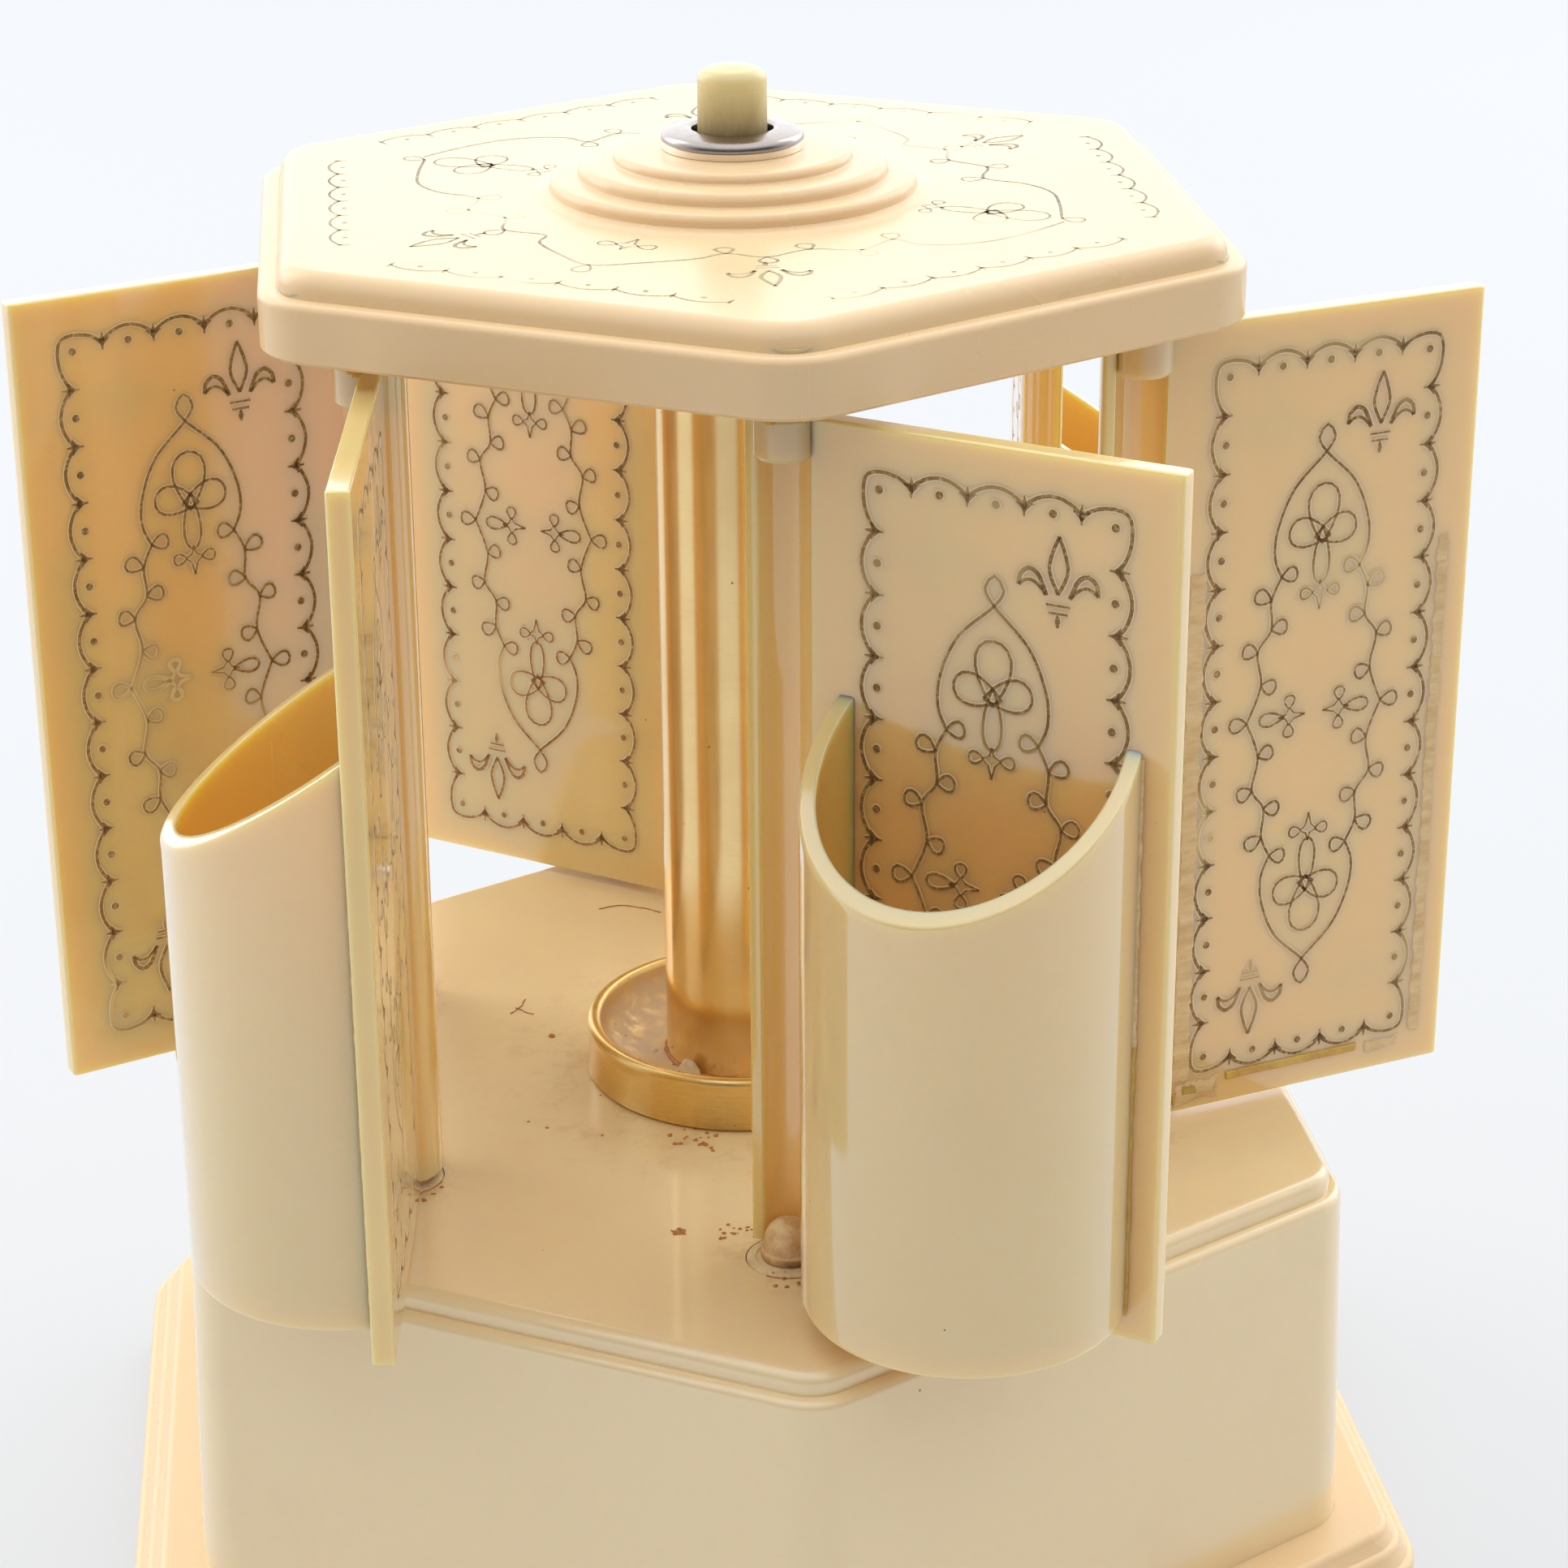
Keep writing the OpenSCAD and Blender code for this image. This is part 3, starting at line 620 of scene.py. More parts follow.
def make_bushes(look):
    profile = [(2.55, DECK_UNDER), (6.2, DECK_UNDER), (6.2, DECK - 0.1), (6.05, DECK + 0.05),
               (5.5, DECK + 0.16), (4.9, DECK + 0.18), (4.75, DECK - 0.1), (4.45, DECK - 0.1),
               (4.3, DECK + 0.16), (2.55, DECK + 0.16)]
    parts = [(*turned(profile, polar(PIVOT_R, corner_angle(n)), 64, closed=True), 0) for n in DOORS]
    new_piece("bush_rings", parts, [look["bush"]], "stand", ["deck_bushes"])


# ---------------- column
def make_column(look):
    foot, plate = DISH_TOP - 6.4, LID_Z + 0.3
    profile = [(10.5, DECK - 8.2), (10.5, foot), (12.0, foot), (12.2, foot + 0.2), (12.2, plate - 0.2),
               (12.0, plate), (10.5, plate), (10.5, plate + 5.5), (8.5, plate + 5.5), (8.5, DECK - 8.2)]
    new_piece("gilt_column", [(*turned(profile, steps=160, closed=True), 0)], [look["gold"]],
              "stand", ["column_tube"])


def make_dish(look):
    rim = DISH_TOP - 1
    profile = [(10.55, DECK), (24.4, DECK), (25.0, DECK + 0.5), (24.75, DECK + 2.2), (24.6, rim - 1.9),
               (24.7, rim - 1.5)]
    profile += arc(23.8, rim - 0.15, 1.15, -35, 163, 11)
    profile += [(22.6 - 9.6 * (1 - math.cos(t)), rim - 5.4 * math.sin(t)) for t in quarter(12)[1:]]
    profile += [(12.6, DECK + 2.6), (10.55, DECK + 2.6)]
    new_piece("column_dish", [(*turned(profile, closed=True), 0)], [look["dish"]],
              "stand", ["column_foot"])


# ---------------- lid
def make_lid(look):
    outer = [(0.5, LID_Z), (0, LID_Z + 0.5)] + rounded_edge(0, SKIRT_TOP, 1.2)
    outer += [(2.6, SKIRT_TOP)] + rounded_edge(2.8, LID_TOP, 3, 8)
    rings = [inset_hexagon(LID_HEX, inset, z) for inset, z in outer]
    guide = rings[-1]
    profile = [(29.6, LID_TOP + 0.02), (29.2, LID_TOP + 0.1), (28.9, LID_TOP + 0.3), (28.2, LID_TOP + 0.4)]
    tiers = ((27.0, 0.7, 2.5, 1.3), (22.8, 2.7, 4.5, 1.5), (17.6, 4.7, 6.1, 1.2))
    for r, foot, top, e in tiers:
        profile += [(r + 0.45, LID_TOP + foot - 0.12), (r + 0.1, LID_TOP + foot + 0.05)]
        profile += [(r - d, z) for d, z in rounded_edge(0, LID_TOP + top, e, 8)]
    profile += [(11.1, DOME_TOP), (7.6, DOME_TOP), (7.6, LID_UNDER)]
    rings += [circle_like(guide, r, z) for r, z in profile]
    rings += [hexagon(LID_HOLLOW, LID_UNDER), hexagon(LID_HOLLOW, LID_Z)]
    new_piece("lid_moulding", [(*loft(rings, closed=True), 0)], [look["moulding"]],
              "stand", ["lid"])
    bosses = [(*turned([(1.5, LID_Z + 2.8), (4, LID_Z + 2.8), (4, LID_UNDER + 0.5), (1.5, LID_UNDER + 0.5)],
                       polar(45, corner_angle(n) + 30), 32, closed=True), 0) for n in DOORS]
    new_piece("lid_bosses", bosses, [look["inner"]], "stand")


def make_bezel(look):
    base = DOME_TOP + 1.1
    profile = [(5.9, DOME_TOP - 5), (7.5, DOME_TOP - 5), (7.5, base), (10.35, base), (10.5, base + 0.15)]
    profile += arc(9.3, base + 0.3, 1.2, 0, 63, 7)
    profile += [(9.3, base + 1.5), (8.2, BEZEL_TOP - 0.12), (7.0, BEZEL_TOP), (6.35, BEZEL_TOP),
                (6.05, BEZEL_TOP - 0.2), (5.9, BEZEL_TOP - 0.6)]
    new_piece("chrome_bezel", [(*turned(profile, closed=True), 0)], [look["chrome"]],
              "stand", ["bezel_ring"])
    washer = [(7.55, DOME_TOP), (10.3, DOME_TOP), (10.4, DOME_TOP + 0.1), (10.4, base - 0.1),
              (10.3, base), (7.55, base)]
    new_piece("brass_washer", [(*turned(washer, closed=True), 0)], [look["washer"]],
              "stand", ["bezel_washer"])


def make_button(look):
    foot = BUTTON_TOP - 25.2
    profile = [(2.5, foot), (4.9, foot), (5.1, foot + 0.3)]
    profile += [(5.1, BUTTON_TOP - z) for z in (16, 12, 8, 4)]
    profile += [(3.2 + 1.9 * math.cos(t), BUTTON_TOP - 2.4 + 1.9 * math.sin(t)) for t in quarter(12)]
    profile += [(2.2, BUTTON_TOP - 0.22), (1.1, BUTTON_TOP - 0.05), (0, BUTTON_TOP)]
    points, faces = turned(profile, steps=72)
    new_piece("push_button", [(points, faces, 0)], [look["button"]], "plunger",
              ["button"])


# ---------------- doors
def leaf_outline():
    """Panel that ends in a half-round hinge channel, with small radii on its free corners."""
    e = 0.6
    lip = 0.5
    meet = math.degrees(math.asin(DOOR_T / CHANNEL_R))
    outline = [(CHANNEL_BORE, 0.02)]
    outline += arc(DOOR_W - e, e, e, -90, 0, 4) + arc(DOOR_W - e, DOOR_T - e, e, 0, 90, 4)
    outline += arc(0, 0, CHANNEL_R, meet, 180 - 4, 28)
    outline += arc(-CHANNEL_R + lip, lip, lip, 180, 270, 3)
    outline += arc(-CHANNEL_BORE - lip, lip, lip, 270, 360, 3)
    outline += arc(0, 0, CHANNEL_BORE, 180 - 7, 4, 24)
    return outline


def make_leaf(n, look):
    parts = [(*extruded(leaf_outline(), DOOR_Z, DOOR_TOP, 0.45), 0)]
    door_piece(n, "door_leaf", parts, [look["panel"]], ["door_panel"], 50)


def make_pivots(n, look):
    boss = [(0, DOOR_TOP - 6), (3.6, DOOR_TOP - 6), (4.1, DOOR_TOP - 5.4), (4.1, DOOR_TOP - 0.4),
            (3.7, DOOR_TOP + 0.15), (2.9, DOOR_TOP + 0.2), (2.75, DOOR_TOP + 0.5),
            (2.75, LID_Z - 0.1), (1.6, LID_Z), (1.6, LID_Z + 2.5), (0, LID_Z + 2.5)]
    door_piece(n, "top_boss", [(*turned(boss, steps=48), 0)], [look["inner"]],
               ["top_pivot"])
    hub = [(0, 47), (2.3, 47), (2.5, 47.4), (2.5, DECK + 0.4), (3.9, DECK + 0.4), (4.1, DECK + 0.7),
           (4.1, DECK + 1.5), (3.95, DECK + 1.7), (3.7, DECK + 1.8)]
    hub += [(3.6 * math.cos(t), DOOR_Z + 1.6 + 3.3 * math.sin(t)) for t in quarter(7)]
    door_piece(n, "spindle_hub", [(*turned(hub, steps=48), 0)], [look["hub"]],
               ["spindle"])


def cup_section(turn, outer_half, inner_half):
    """Profile across the cup's wall at turn from 0 to 1: floor, inner wall, rim, outer wall."""
    a_out = -outer_half + (180 + 2 * outer_half) * turn
    a_in = -inner_half + (180 + 2 * inner_half) * turn
    inner_r = CUP_R - CUP_WALL

    def spot(r, degrees, z):
        x, y = polar(r, degrees)
        return (CUP_S + x, min(-CUP_N - y, 0), z)

    def rim(r, degrees, drop):
        x, y, _ = spot(r, degrees, 0)
        return (x, y, RIM_Z + RIM_SLOPE * y - drop)

    floor = CUP_Z + CUP_WALL
    section = [(spot(inner_r - 1.2, a_in, floor)[0], 0, floor), spot(inner_r - 1.2, a_in, floor)]
    section += [spot(inner_r - 0.35, a_in, floor + 0.35), spot(inner_r, a_in, floor + 1.2)]
    for across, drop in ((0, 1.2), (0, 0.5), (0.12, 0.14), (0.45, 0), (CUP_WALL - 0.45, 0),
                         (CUP_WALL - 0.12, 0.14), (CUP_WALL, 0.5), (CUP_WALL, 1.2)):
        section.append(rim(inner_r + across, a_in + (a_out - a_in) * across / CUP_WALL, drop))
    section += [spot(CUP_R, a_out, CUP_Z + 1.2), spot(CUP_R - 0.35, a_out, CUP_Z + 0.35)]
    section += [spot(CUP_R - 1.2, a_out, CUP_Z), (spot(CUP_R - 1.2, a_out, CUP_Z)[0], 0, CUP_Z)]
    return section


def make_cup(n, look):
    steps = 72
    outer_half = math.degrees(math.asin(CUP_N / CUP_R))
    inner_half = math.degrees(math.asin(CUP_N / (CUP_R - CUP_WALL)))
    sections = [cup_section(i / steps, outer_half, inner_half) for i in range(steps + 1)]
    points, faces = loft(sections)
    around = len(sections[0])
    # Faces inside the cup take the deeper orange material: painted glow of light bounced between the walls
    inside = [1 if max(i % around for i in face) <= 5 else 0 for face in faces]
    door_piece(n, "cup_shell", [(points, faces, inside)], [look["cup"], look["painted_glow_cup"]],
               ["cup"], 40)


# ---------------- pressed ornament
PATH_STEP = 0.8


def curve(points):
    """Smooth plane path through points, with a step of about PATH_STEP millimetres."""
    last = len(points) - 1
    path = []
    for i in range(last):
        p0, p1, p2, p3 = (Vector(points[min(max(i + k, 0), last)]) for k in (-1, 0, 1, 2))
        steps = max(int((p2 - p1).length / PATH_STEP), 2)
        for t in (k / steps for k in range(steps)):
            path.append(0.5 * (2 * p1 + (p2 - p0) * t + (2 * p0 - 5 * p1 + 4 * p2 - p3) * t ** 2
                               + (3 * p1 - p0 - 3 * p2 + p3) * t ** 3))
    return path + [Vector(points[-1])]


def loop(half, length, steps):
    """Teardrop from the origin up +Y and back to it."""
    turns = [2 * math.pi * i / steps for i in range(steps + 1)]
    return [Vector((1.3 * half * math.sin(t) * math.sin(t / 2), length * (1 - math.cos(t)) / 2))
            for t in turns]


def placed(path, at, turn, scale=1.0):
    spin = Matrix.Rotation(math.radians(turn), 2)
    return [Vector(at) + spin @ (Vector(p) * scale) for p in path]


def stroke(path, half=0.23, taper=1.0):
    """A pressed line as (path, half-widths); taper is the width kept at its ends."""
    last = len(path) - 1
    return path, [half * (taper + (1 - taper) * math.sin(math.pi * i / last)) for i in range(len(path))]


def ribbon(path, halves):
    """A line of ink (index 1) on a low ridge (index 0), in (across, along, height)."""
    rings = []
    last = len(path) - 1
    for i, here in enumerate(path):
        way = (path[min(i + 1, last)] - path[max(i - 1, 0)]).normalized()
        side = Vector((-way.y, way.x))
        crest, skirt = halves[i] + 0.1, halves[i] + 0.28
        section = ((-skirt, -0.05), (-crest, 0.035), (-halves[i], 0.055),
                   (halves[i], 0.055), (crest, 0.035), (skirt, -0.05))
        rings.append([(*(here + side * d), h) for d, h in section])
    points, faces = loft(rings)
    crests = [1 if i % len(section) == 2 else 0 for i in range(len(faces) - 2)]
    return points, faces, crests + [0, 0]


def dot(at, r=0.6):
    rings = [[(at[0] + x, at[1] + y, h) for x, y, _ in circle(rr, 0, 12)]
             for rr, h in ((r + 0.3, -0.05), (r + 0.12, 0.04), (r, 0.05))]
    points, faces = loft(rings)
    return points, faces, [0] * 24 + [0, 1]


def scallops(start, end, count, bulge):
    """Arcs from start to end that swell to the right of the way they run, with their valleys."""
    way = Vector(end) - Vector(start)
    out = Vector((way.y, -way.x)).normalized() * bulge
    valleys = [Vector(start) + way * (i / count) for i in range(count + 1)]
    arcs = []
    for a, b in zip(valleys, valleys[1:]):
        arcs.append([a.lerp(b, t) + out * math.sin(math.pi * t) ** 0.8 for t in (i / 9 for i in range(10))])
    return valleys, arcs, out.normalized()


def thorn(valley, out):
    """Barb across the frame's line where two scallops meet."""
    side = Vector((-out.y, out.x))
    spike = stroke([valley + out * 1.4, valley + out * 0.5, valley - out * 0.4, valley - out * 1.4], 0.34,
                   taper=0.3)
    wings = [stroke([valley + out * 0.5 + side * k, valley + side * 0.35 * k, valley - out * 0.7], 0.3,
                    taper=0.5) for k in (-1.2, 1.2)]
    return [spike, *wings]


def fleur(at, turn):
    """Fleur-de-lis: a leaf between two hooks, over two bars and a drop."""
    outer = [(5.7, 3.0), (5.5, 4.5), (4.3, 5.5), (3.0, 4.9), (2.3, 3.6), (1.7, 2.1)]
    inner = [(5.7, 3.0), (4.9, 3.7), (3.9, 3.9), (2.9, 3.4), (1.8, 2.2)]
    petal = [(0, 2.4), (1.3, 5.4), (1.0, 7.8), (0, 10.4)]
    lines = [(flank, half, side) for side in (1, -1)
             for flank, half in ((petal, 0.27), (outer, 0.34), (inner, 0.25))]
    made = [stroke(placed(curve([(x * side, y) for x, y in line]), at, turn), half)
            for line, half, side in lines]
    made += [stroke(placed([(-w, y), (0, y), (w, y)], at, turn), 0.17)
             for w, y in ((1.7, 0.9), (1.4, -0.2))]
    made.append(stroke(placed([(0, -0.4), (0, -1.3), (0, -2.2)], at, turn), 0.42, taper=0.4))
    return made


def knot(at, turn, scale=1.0):
    """Four-pointed star with a small loop at either side, pointing up +Y."""
    flank = [(0, -1.8), (0.35, -0.6), (1.4, 0), (0.5, 0.8), (0, 2.8)]
    made = [stroke(placed([(x * side, y) for x, y in flank], at, turn, scale), 0.17) for side in (1, -1)]
    made += [stroke(placed(placed(loop(0.9, 2.2, 12), (side * 1.2, 0), -90 * side), at, turn, scale), 0.18)
             for side in (1, -1)]
    return made


def quatrefoil(at, turn, scale=1.0):
    """Three round petals and a long tail that ends in a knot."""
    petals = ((2.7, 9.4, 0), (2.3, 7.3, 78), (2.3, 7.3, -78), (1.4, 9.0, 180))
    made = []
    for half, length, way in petals:
        start = placed([(0, -1.4)], (0, -0.4), way)[0]
        made.append(stroke(placed(placed(loop(half, length, 18), start, way), at, turn, scale), 0.22))
    return made + knot(placed([(0, -9.4)], at, turn, scale)[0], turn + 180, scale)


def curl(vertex, centre, half=0.9):
    """Small loop that starts and ends on a vertex of a chain and reaches past centre."""
    way = Vector(centre) - Vector(vertex)
    turn = math.degrees(math.atan2(way.y, way.x)) - 90
    return stroke(placed(loop(half + 0.3, way.length + 1.35, 12), vertex, turn), 0.22)


def door_pattern():
    """Strokes and dots on a door, in millimetres from the frame's centre."""
    strokes, dots = [], []
    half_w, half_h, side_w, side_h = 12.3, 48.95, 17.8, 55.8
    for sign in (1, -1):
        runs = (((half_w * sign, side_h * sign), (-half_w * sign, side_h * sign), 3),
                ((-side_w * sign, half_h * sign), (-side_w * sign, -half_h * sign), 11))
        for start, end, count in runs:
            valleys, arcs, out = scallops(start, end, count, 1.9)
            strokes += [stroke(arc_path, 0.27) for arc_path in arcs]
            for valley in valleys:
                strokes += thorn(valley, out)
            dots += [a.lerp(b, 0.5) - out * 0.45 for a, b in zip(valleys, valleys[1:])]
        for mirror in (1, -1):
            lobe = [(half_w, side_h), (14.4, 56.9), (16.9, 57.3), (18.7, 56.8), (19.4, 55.2), (19.2, 52),
                    (side_w, half_h)]
            strokes.append(stroke(curve([(x * mirror * sign, y * sign) for x, y in lobe]), 0.27))
            dots.append(Vector((17.1 * mirror * sign, 54.8 * sign)))
    zigzag = [(-6.8, 22.6), (-8.4, 19.1), (-8.2, 14.5), (-10.4, 11.1), (-9.6, 5.8), (-11.8, 0)]
    curls = [(-5.4, 22.8), (-10.0, 19.9), (-6.8, 14.7), (-11.7, 11.5), (-8.3, 5.4), (-13.5, 0)]
    ogive = [(-6.8, 22.6), (-8.1, 25.8), (-7.8, 30.3), (-5.2, 36.2), (0, 41.3), (1.35, 43.7), (0, 45.5),
             (-1.35, 43.7), (0, 41.3), (5.2, 36.2), (7.8, 30.3), (8.1, 25.8), (6.8, 22.6)]
    for turn in (0, 180):
        strokes.append(stroke(placed(curve(ogive), (0, 0), turn)))
        strokes += quatrefoil(placed([(0, 28.8)], (0, 0), turn)[0], turn)
        strokes += fleur(placed([(9.2, 42)], (0, 0), turn)[0], turn)
        side = placed([(-5.2, 0)], (0, 0), turn)[0]
        strokes.append(stroke(placed(loop(1.1, 4.4, 14), side, turn + 90), 0.22))
        strokes += knot(placed([(-4.4, 0)], (0, 0), turn)[0], turn - 90)
        for flip in (1, -1):
            line = [(x * flip, y) for x, y in zigzag]
            strokes.append(stroke(placed(curve(line), (0, 0), turn), 0.22))
            strokes += [curl(*placed([(x * flip, y), (cx * flip, cy)], (0, 0), turn))
                        for (x, y), (cx, cy) in zip(zigzag, curls)]
    return strokes, dots


def make_ornament(n, look):
    """Pressed pattern on both faces of a door, the same as seen from either side."""
    strokes, dots = door_pattern()
    flat = [ribbon(*line) for line in strokes] + [dot(at) for at in dots]
    parts = []
    for points, faces, inked in flat:
        front = [(ORNAMENT_S + u, -h, ORNAMENT_Z + v) for u, v, h in points]
        back = [(ORNAMENT_S - u, DOOR_T + h, ORNAMENT_Z + v) for u, v, h in points]
        parts += [(front, faces, inked), (back, faces, inked)]
    door_piece(n, "door_ornament", parts, [look["lip"], look["door_ink"]], sharp=60)


def make_lid_ornament(look):
    """Faded ring of curls, flowers and edge scallops on top of the lid."""
    run = [(-44.5, 24.5), (-45.7, 16), (-45.8, 9), (-43, 3.5), (-37.5, -1), (-39, -7.8), (-34.2, -13.2),
           (-34.5, -20), (-29, -23.8), (-30, -28), (-27.5, -35), (-24, -41), (-17, -41), (-9, -39.8),
           (-4.8, -37.6), (0.6, -40.2), (7, -36.8), (14, -38), (19, -33), (22, -36), (27, -37),
           (33, -35.5), (39, -31.5), (44.5, -26.5)]
    # Centre of the small loop on each vertex of run that has one
    centres = {0: (-46.3, 25.6), 4: (-35.4, -0.6), 5: (-40.9, -8.1), 6: (-32.6, -12.6),
               7: (-36.1, -21.4), 11: (-25.2, -43.2), 14: (-4.9, -35.6), 15: (0.6, -42.1),
               16: (6.5, -35), 17: (14.7, -39.9), 18: (19, -31)}
    strokes, dots = [], []
    for turn in (0, 180):
        strokes.append(stroke(placed(curve(run), (0, 0), turn), 0.26))
        strokes += [curl(*placed((run[i], centre), (0, 0), turn), 1.0) for i, centre in centres.items()]
        strokes += quatrefoil(polar(41, 151 + turn), 61 + turn, 1.05)
        strokes += knot(polar(36, turn - 120), turn - 30, 1.3)
        for angle in (-150, -90):
            strokes += fleur(polar(45, angle + turn), angle + turn - 90)
    for n in DOORS:
        along = corner_angle(n) + 30
        middle, way = Vector(polar(57.5, along)), Vector(polar(25.5, along + 90))
        valleys, arcs, out = scallops(middle - way, middle + way, 6, 1.5)
        strokes += [stroke(arc_path, 0.22) for arc_path in arcs]
        for valley in valleys:
            strokes.append(stroke([valley + out * 0.9, valley, valley - out * 1.3], 0.3, taper=0.4))
        dots += [a.lerp(b, 0.5) - out * 0.6 for a, b in zip(valleys, valleys[1:])]
    flat = [ribbon(*line) for line in strokes] + [dot(at, 0.42) for at in dots]
    parts = [([(x, y, LID_TOP + h * 0.7) for x, y, h in points], faces, inked)
             for points, faces, inked in flat]
    new_piece("lid_ornament", parts, [look["lip"], look["lid_ink"]], "stand",
              sharp=60)


# ---------------- old glue and dirt
BEAD_SIDES = 8


def bead(path, radii, steps=BEAD_SIDES):
    """Uneven thread of round section along an upright or level path of (x, y, z)."""
    rings = []
    for i, (here, r) in enumerate(zip(path, radii)):
        way = (Vector(path[min(i + 1, len(path) - 1)]) - Vector(path[max(i - 1, 0)])).normalized()
        side = way.orthogonal().normalized()
        other = way.cross(side)
        turns = [2 * math.pi * k / steps for k in range(steps)]
        rings.append([Vector(here) + r * (math.cos(t) * side + math.sin(t) * other) for t in turns])
    return loft(rings)


def lump(draw, at, r, height):
    """Irregular crumb or blob whose foot stands a little below at."""
    rings = []
    tilt = [draw.uniform(0.7, 1.25) for _ in range(9)]
    for level, width in ((-0.3, 0.9), (0.1, 1.0), (0.5, 0.85), (0.85, 0.5), (1.0, 0.15)):
        turns = [360 * k / 9 + draw.uniform(-8, 8) for k in range(9)]
        rings.append([(at[0] + polar(r * width * tilt[k], turns[k])[0],
                       at[1] + polar(r * width * tilt[k], turns[k])[1],
                       at[2] + height * (level + draw.uniform(-0.05, 0.05))) for k in range(9)])
    return loft(rings)


def fibre(draw, at, length, turn):
    """Thread of dirt lying on the deck."""
    r = 0.12
    x, y = at
    path = []
    for _ in range(14):
        path.append((x, y, DECK + r * 0.6))
        turn += draw.uniform(-22, 22)
        step = polar(length / 13, turn)
        x, y = x + step[0], y + step[1]
    return bead(path, [r * draw.uniform(0.6, 1.1) for _ in path], 6)


def ragged(draw, s0, s1, z0, z1, thick, rag):
    """Thin uneven film on a door's cup face, between s0 and s1 along it and z0 and z1 up it."""
    count_s, count_z = max(int((s1 - s0) / 0.8), 2), max(int((z1 - z0) / 0.8), 2)
    edge = [(s0 + (s1 - s0) * i / count_s, z0) for i in range(count_s)]
    edge += [(s1, z0 + (z1 - z0) * i / count_z) for i in range(count_z)]
    edge += [(s1 - (s1 - s0) * i / count_s, z1) for i in range(count_s)]
    edge += [(s0, z1 - (z1 - z0) * i / count_z) for i in range(count_z)]
    middle = Vector(((s0 + s1) / 2, (z0 + z1) / 2))
    spread = [(Vector(p), draw.uniform(0, rag)) for p in edge]
    rings = []
    for inset, h in ((0, -0.03), (0.05, thick * 0.8), (0.25, thick)):
        ring = []
        for p, bite in spread:
            inward = Vector((max(min(middle.x - p.x, bite + inset), -bite - inset),
                             max(min(middle.y - p.y, bite + inset), -bite - inset)))
            ring.append((p.x + inward.x, -h, p.y + inward.y))
        rings.append(ring)
    return loft(rings)


def make_glue(n, look):
    """Glue along both seams of the cup, and round the top pivot."""
    draw = random.Random(40 + n)
    parts = []
    if n in CUP_DOORS:
        reach = math.sqrt(CUP_R ** 2 - CUP_N ** 2)
        for s in (CUP_S - reach - 0.05, CUP_S + reach + 0.05):
            heights = [CUP_Z + 0.8 + (RIM_Z - CUP_Z - 1.8) * i / 60 for i in range(61)]
            path = [(s + draw.uniform(-0.08, 0.08), -0.1, z) for z in heights]
            points, faces = bead(path, [draw.uniform(0.24, 0.5) for _ in path])
            grimy = n == 1 and s > CUP_S
            amber = (len(path) - 1) // 2 * BEAD_SIDES if grimy else 0
            parts.append((points, faces, [0 if i < amber else 1 for i in range(len(faces))]))
    blobs = 9 if n == 1 else 4
    for _ in range(blobs):
        x, y = polar(draw.uniform(3.6, 5.4), draw.uniform(150, 400))
        spot = (x, y, DOOR_TOP)
        blob = lump(draw, spot, draw.uniform(0.5, 1.2), draw.uniform(0.7, 2.2))
        parts.append((*blob, draw.choice((0, 0, 2))))
    door_piece(n, "old_glue", parts, [look["glue"], look["film"], look["dust"]], sharp=70)


def make_residue(look):
    """What is left on door 2 where its cup came off."""
    draw = random.Random(7)
    films = [(8.7, 12.0, 84, 168, 0.07, 0.5), (51.9, 54.3, 84, 168, 0.07, 0.5),
             (8.6, 17.5, 79.8, 84.6, 0.09, 1.3), (44, 50.5, 82.0, 84.4, 0.1, 0.8)]
    parts = [(*ragged(draw, *film), 0) for film in films]
    parts.append((*ragged(draw, 18.5, 42.5, 82.9, 84.3, 0.35, 0.12), 1))
    parts += [(*ragged(draw, 8.6 + k, 10 + k * 1.7, 80 + 0.8 * k, 82.4 + 0.6 * k, 0.16, 0.5), 1)
              for k in (0, 2)]
    door_piece(2, "cup_residue", parts, [look["film"], look["glue"]], sharp=70)


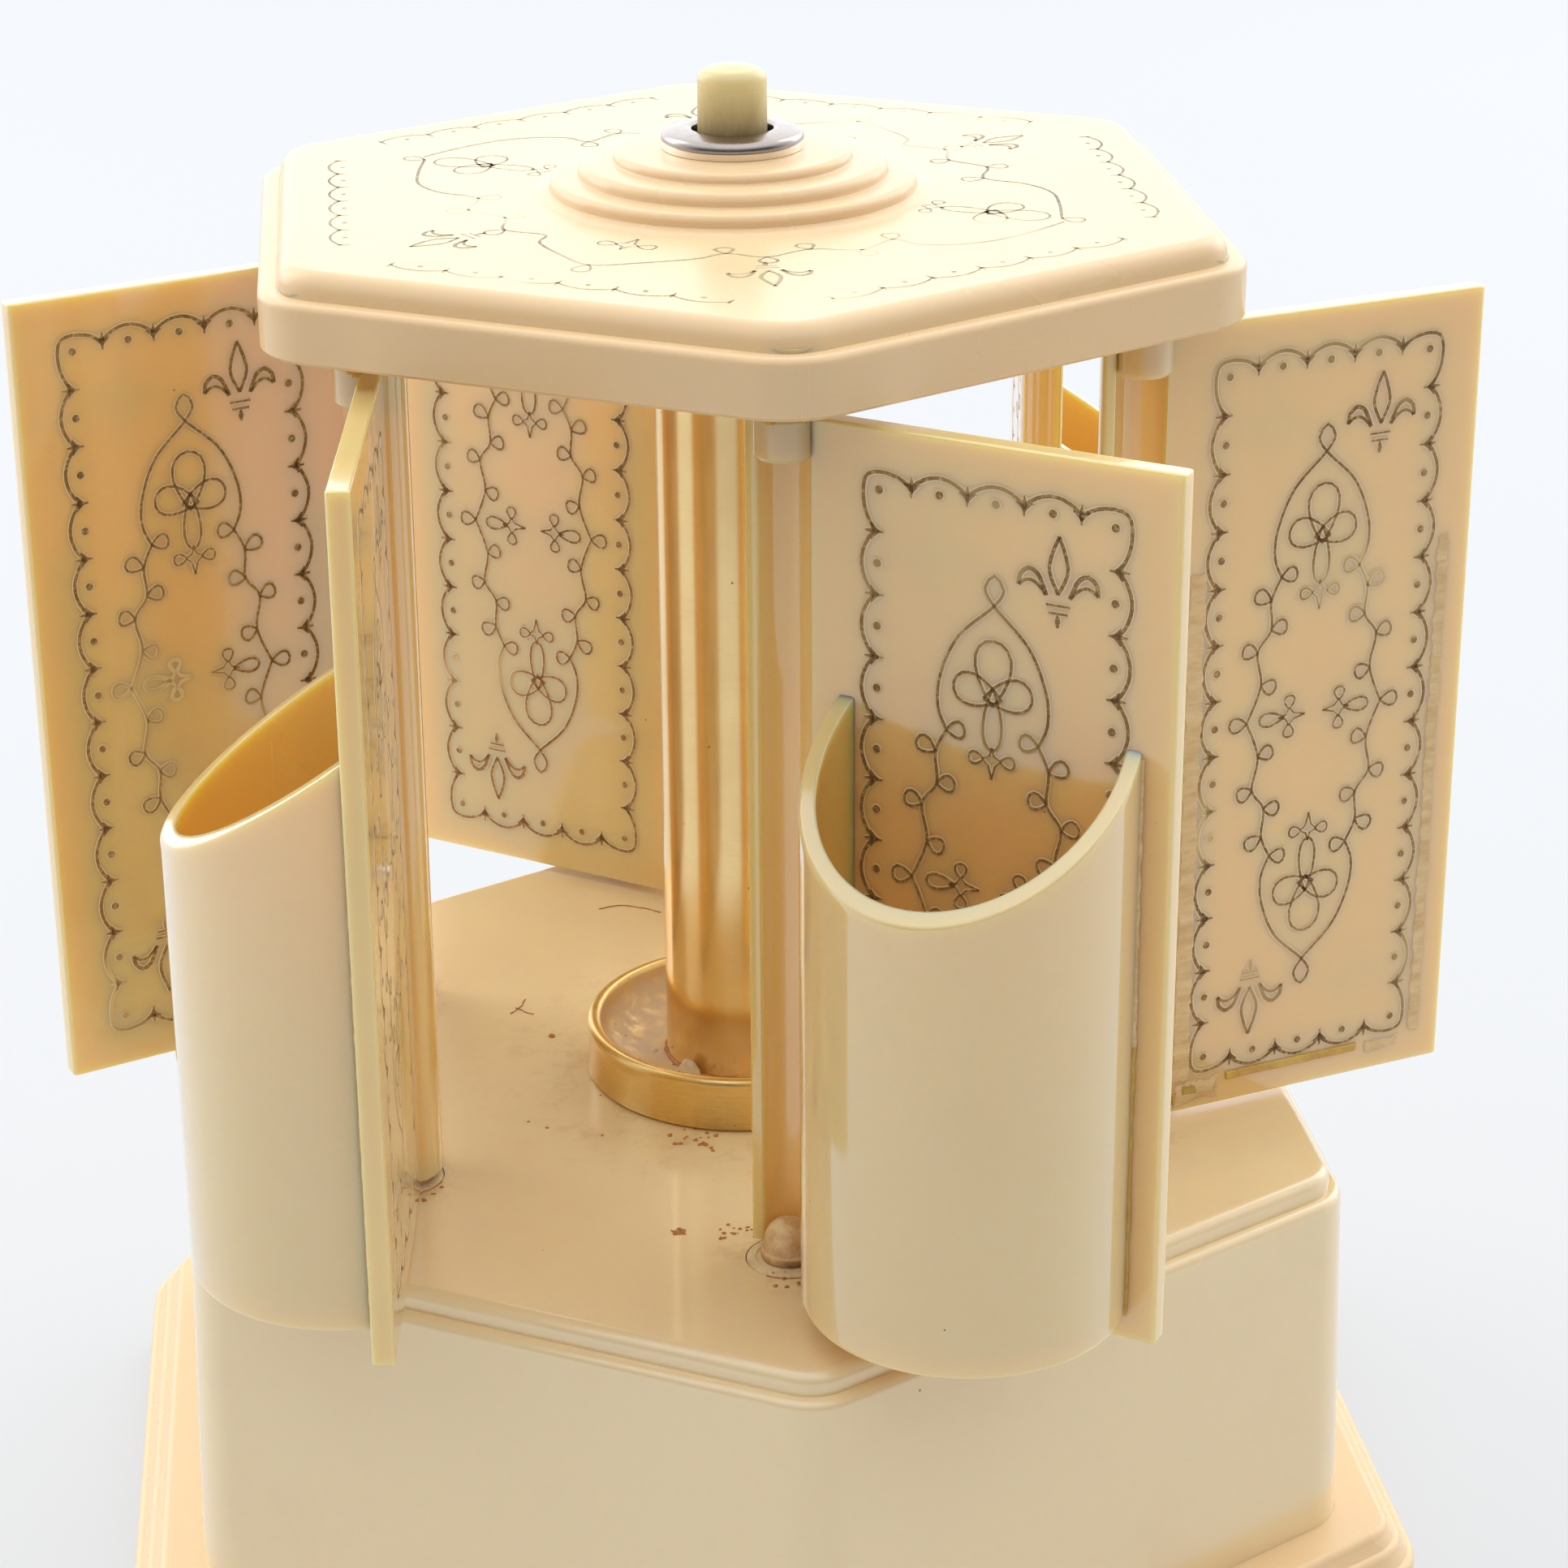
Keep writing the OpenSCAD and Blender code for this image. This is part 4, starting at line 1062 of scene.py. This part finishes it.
def make_dirt(look):
    """Crumbs and threads on the deck, dust in the dish, and dirt round the hubs."""
    draw = random.Random(11)
    parts = []
    heaps = ((-15.1, -54.8, 0.55, 7, 1.3), (-7.2, -56.3, 0.32, 14, 3.2), (-9.7, -26.2, 0.4, 18, 5),
             (-30.8, 12.5, 0.7, 2, 0.8), (-1.6, -70.5, 0.35, 7, 3.0), (-23.7, -9.4, 0.3, 7, 14),
             (20, 20, 0.3, 8, 26), (-52.0, -38.5, 0.4, 6, 3.2), (44, 38, 0.35, 6, 6))
    for x, y, size, count, spread in heaps:
        for _ in range(count):
            dx, dy = polar(draw.uniform(0, spread), draw.uniform(0, 360))
            r = size * draw.uniform(0.5, 1.1)
            parts.append((*lump(draw, (x + dx, y + dy, DECK), r, r * draw.uniform(0.5, 1.1)), 0))
    for at, length, turn in (((-36.5, 22), 6, 25), ((-35.5, 24), 4, -30), ((-19, 62), 12, 12),
                             ((-16.4, -54.2), 2.6, -60), ((30, -38), 5, 80), ((12, 50), 7, 200)):
        parts.append((*fibre(draw, at, length, turn), 0))
    for n in DOORS:
        x, y = polar(PIVOT_R, corner_angle(n))
        for _ in range(2):
            start, sweep = draw.uniform(0, 360), draw.uniform(50, 130)
            path = [(*at, DECK + 0.02) for at in arc(x, y, 6.45, start, start + sweep, 12)]
            parts.append((*bead(path, [draw.uniform(0.08, 0.2) for _ in path], 6), 0))
    joint = [(*polar(12.3, 6 * k), DECK + 2.75) for k in range(61)]
    parts.append((*bead(joint, [draw.uniform(0.22, 0.5) for _ in joint], 6), 0))
    new_piece("deck_dirt", parts, [look["dirt"]], "stand", sharp=70)
    heap = [(*lump(draw, (*polar(14.2, 226), DECK + 2.4), 2.3, 3.4), 0)]
    heap += [(*lump(draw, (*polar(draw.uniform(13.6, 17), draw.uniform(170, 300)), DECK + 2.5),
                    draw.uniform(0.4, 1.0), draw.uniform(0.4, 1.0)), 0) for _ in range(14)]
    new_piece("dish_dust", heap, [look["dust"]], "stand", sharp=70)


# ---------------- CAD meshes that stay, and floor
def carried_nodes(look):
    """CAD nodes that keep their own mesh, each with the material of its slot."""
    by_slot = {
        "ivory_inner": "inner", "movement_brass": "brass", "steel": "steel", "foot_rubber": "rubber"}
    slots = {part["node"]: part["material_slot"] for part in frame["record"]["subparts"]}
    for name, node in frame["nodes"].items():
        if slots[name] in by_slot:
            node.data.materials.clear()
            node.data.materials.append(look[by_slot[slots[name]]])


def make_floor():
    """Pale paper with a glow that grows towards the back, which the gloss of the cups shows."""
    mesh = bpy.data.meshes.new("floor")
    half = 8
    mesh.from_pydata([(-half, -half, 0), (half, -half, 0), (half, half, 0), (-half, half, 0)], [],
                     [(0, 1, 2, 3)])
    floor = bpy.data.objects.new("floor", mesh)
    bpy.context.scene.collection.objects.link(floor)
    material, tree, shader = new_material("floor_paper")
    tone = mix(tree, noise(tree, 3, 2), (0.29, 0.293, 0.30), (0.30, 0.303, 0.31))
    along = add_node(tree, "SeparateXYZ", {"Vector": place(tree)}).outputs["Y"]
    feed(tree, shader, {"Base Color": tone, "Roughness": 0.8, "Emission Color": (0.955, 0.98, 1.0, 1),
                        "Emission Strength": ramp(tree, along, -0.7, -0.28, 0.19, 0.46)})
    mesh.materials.append(material)


# ---------------- scene
make_camera()
make_floor()
make_world(0.11, 1.80, 1.52)
soft_box("left_box", (-1.2, 0.9, 1.0), 5.5)
soft_box("right_box", (1.2, 0.9, 1.0), 4.5)
bpy.context.scene.view_settings.view_transform = "Standard"

looks = make_materials()
carried_nodes(looks)
make_lid_ornament(looks)
make_plinth(looks)
make_base_body(looks)
make_bushes(looks)
make_column(looks)
make_dish(looks)
make_lid(looks)
make_bezel(looks)
make_button(looks)
for door in DOORS:
    make_leaf(door, looks)
    make_pivots(door, looks)
    make_ornament(door, looks)
    make_glue(door, looks)
for door in CUP_DOORS:
    make_cup(door, looks)
make_residue(looks)
make_dirt(looks)
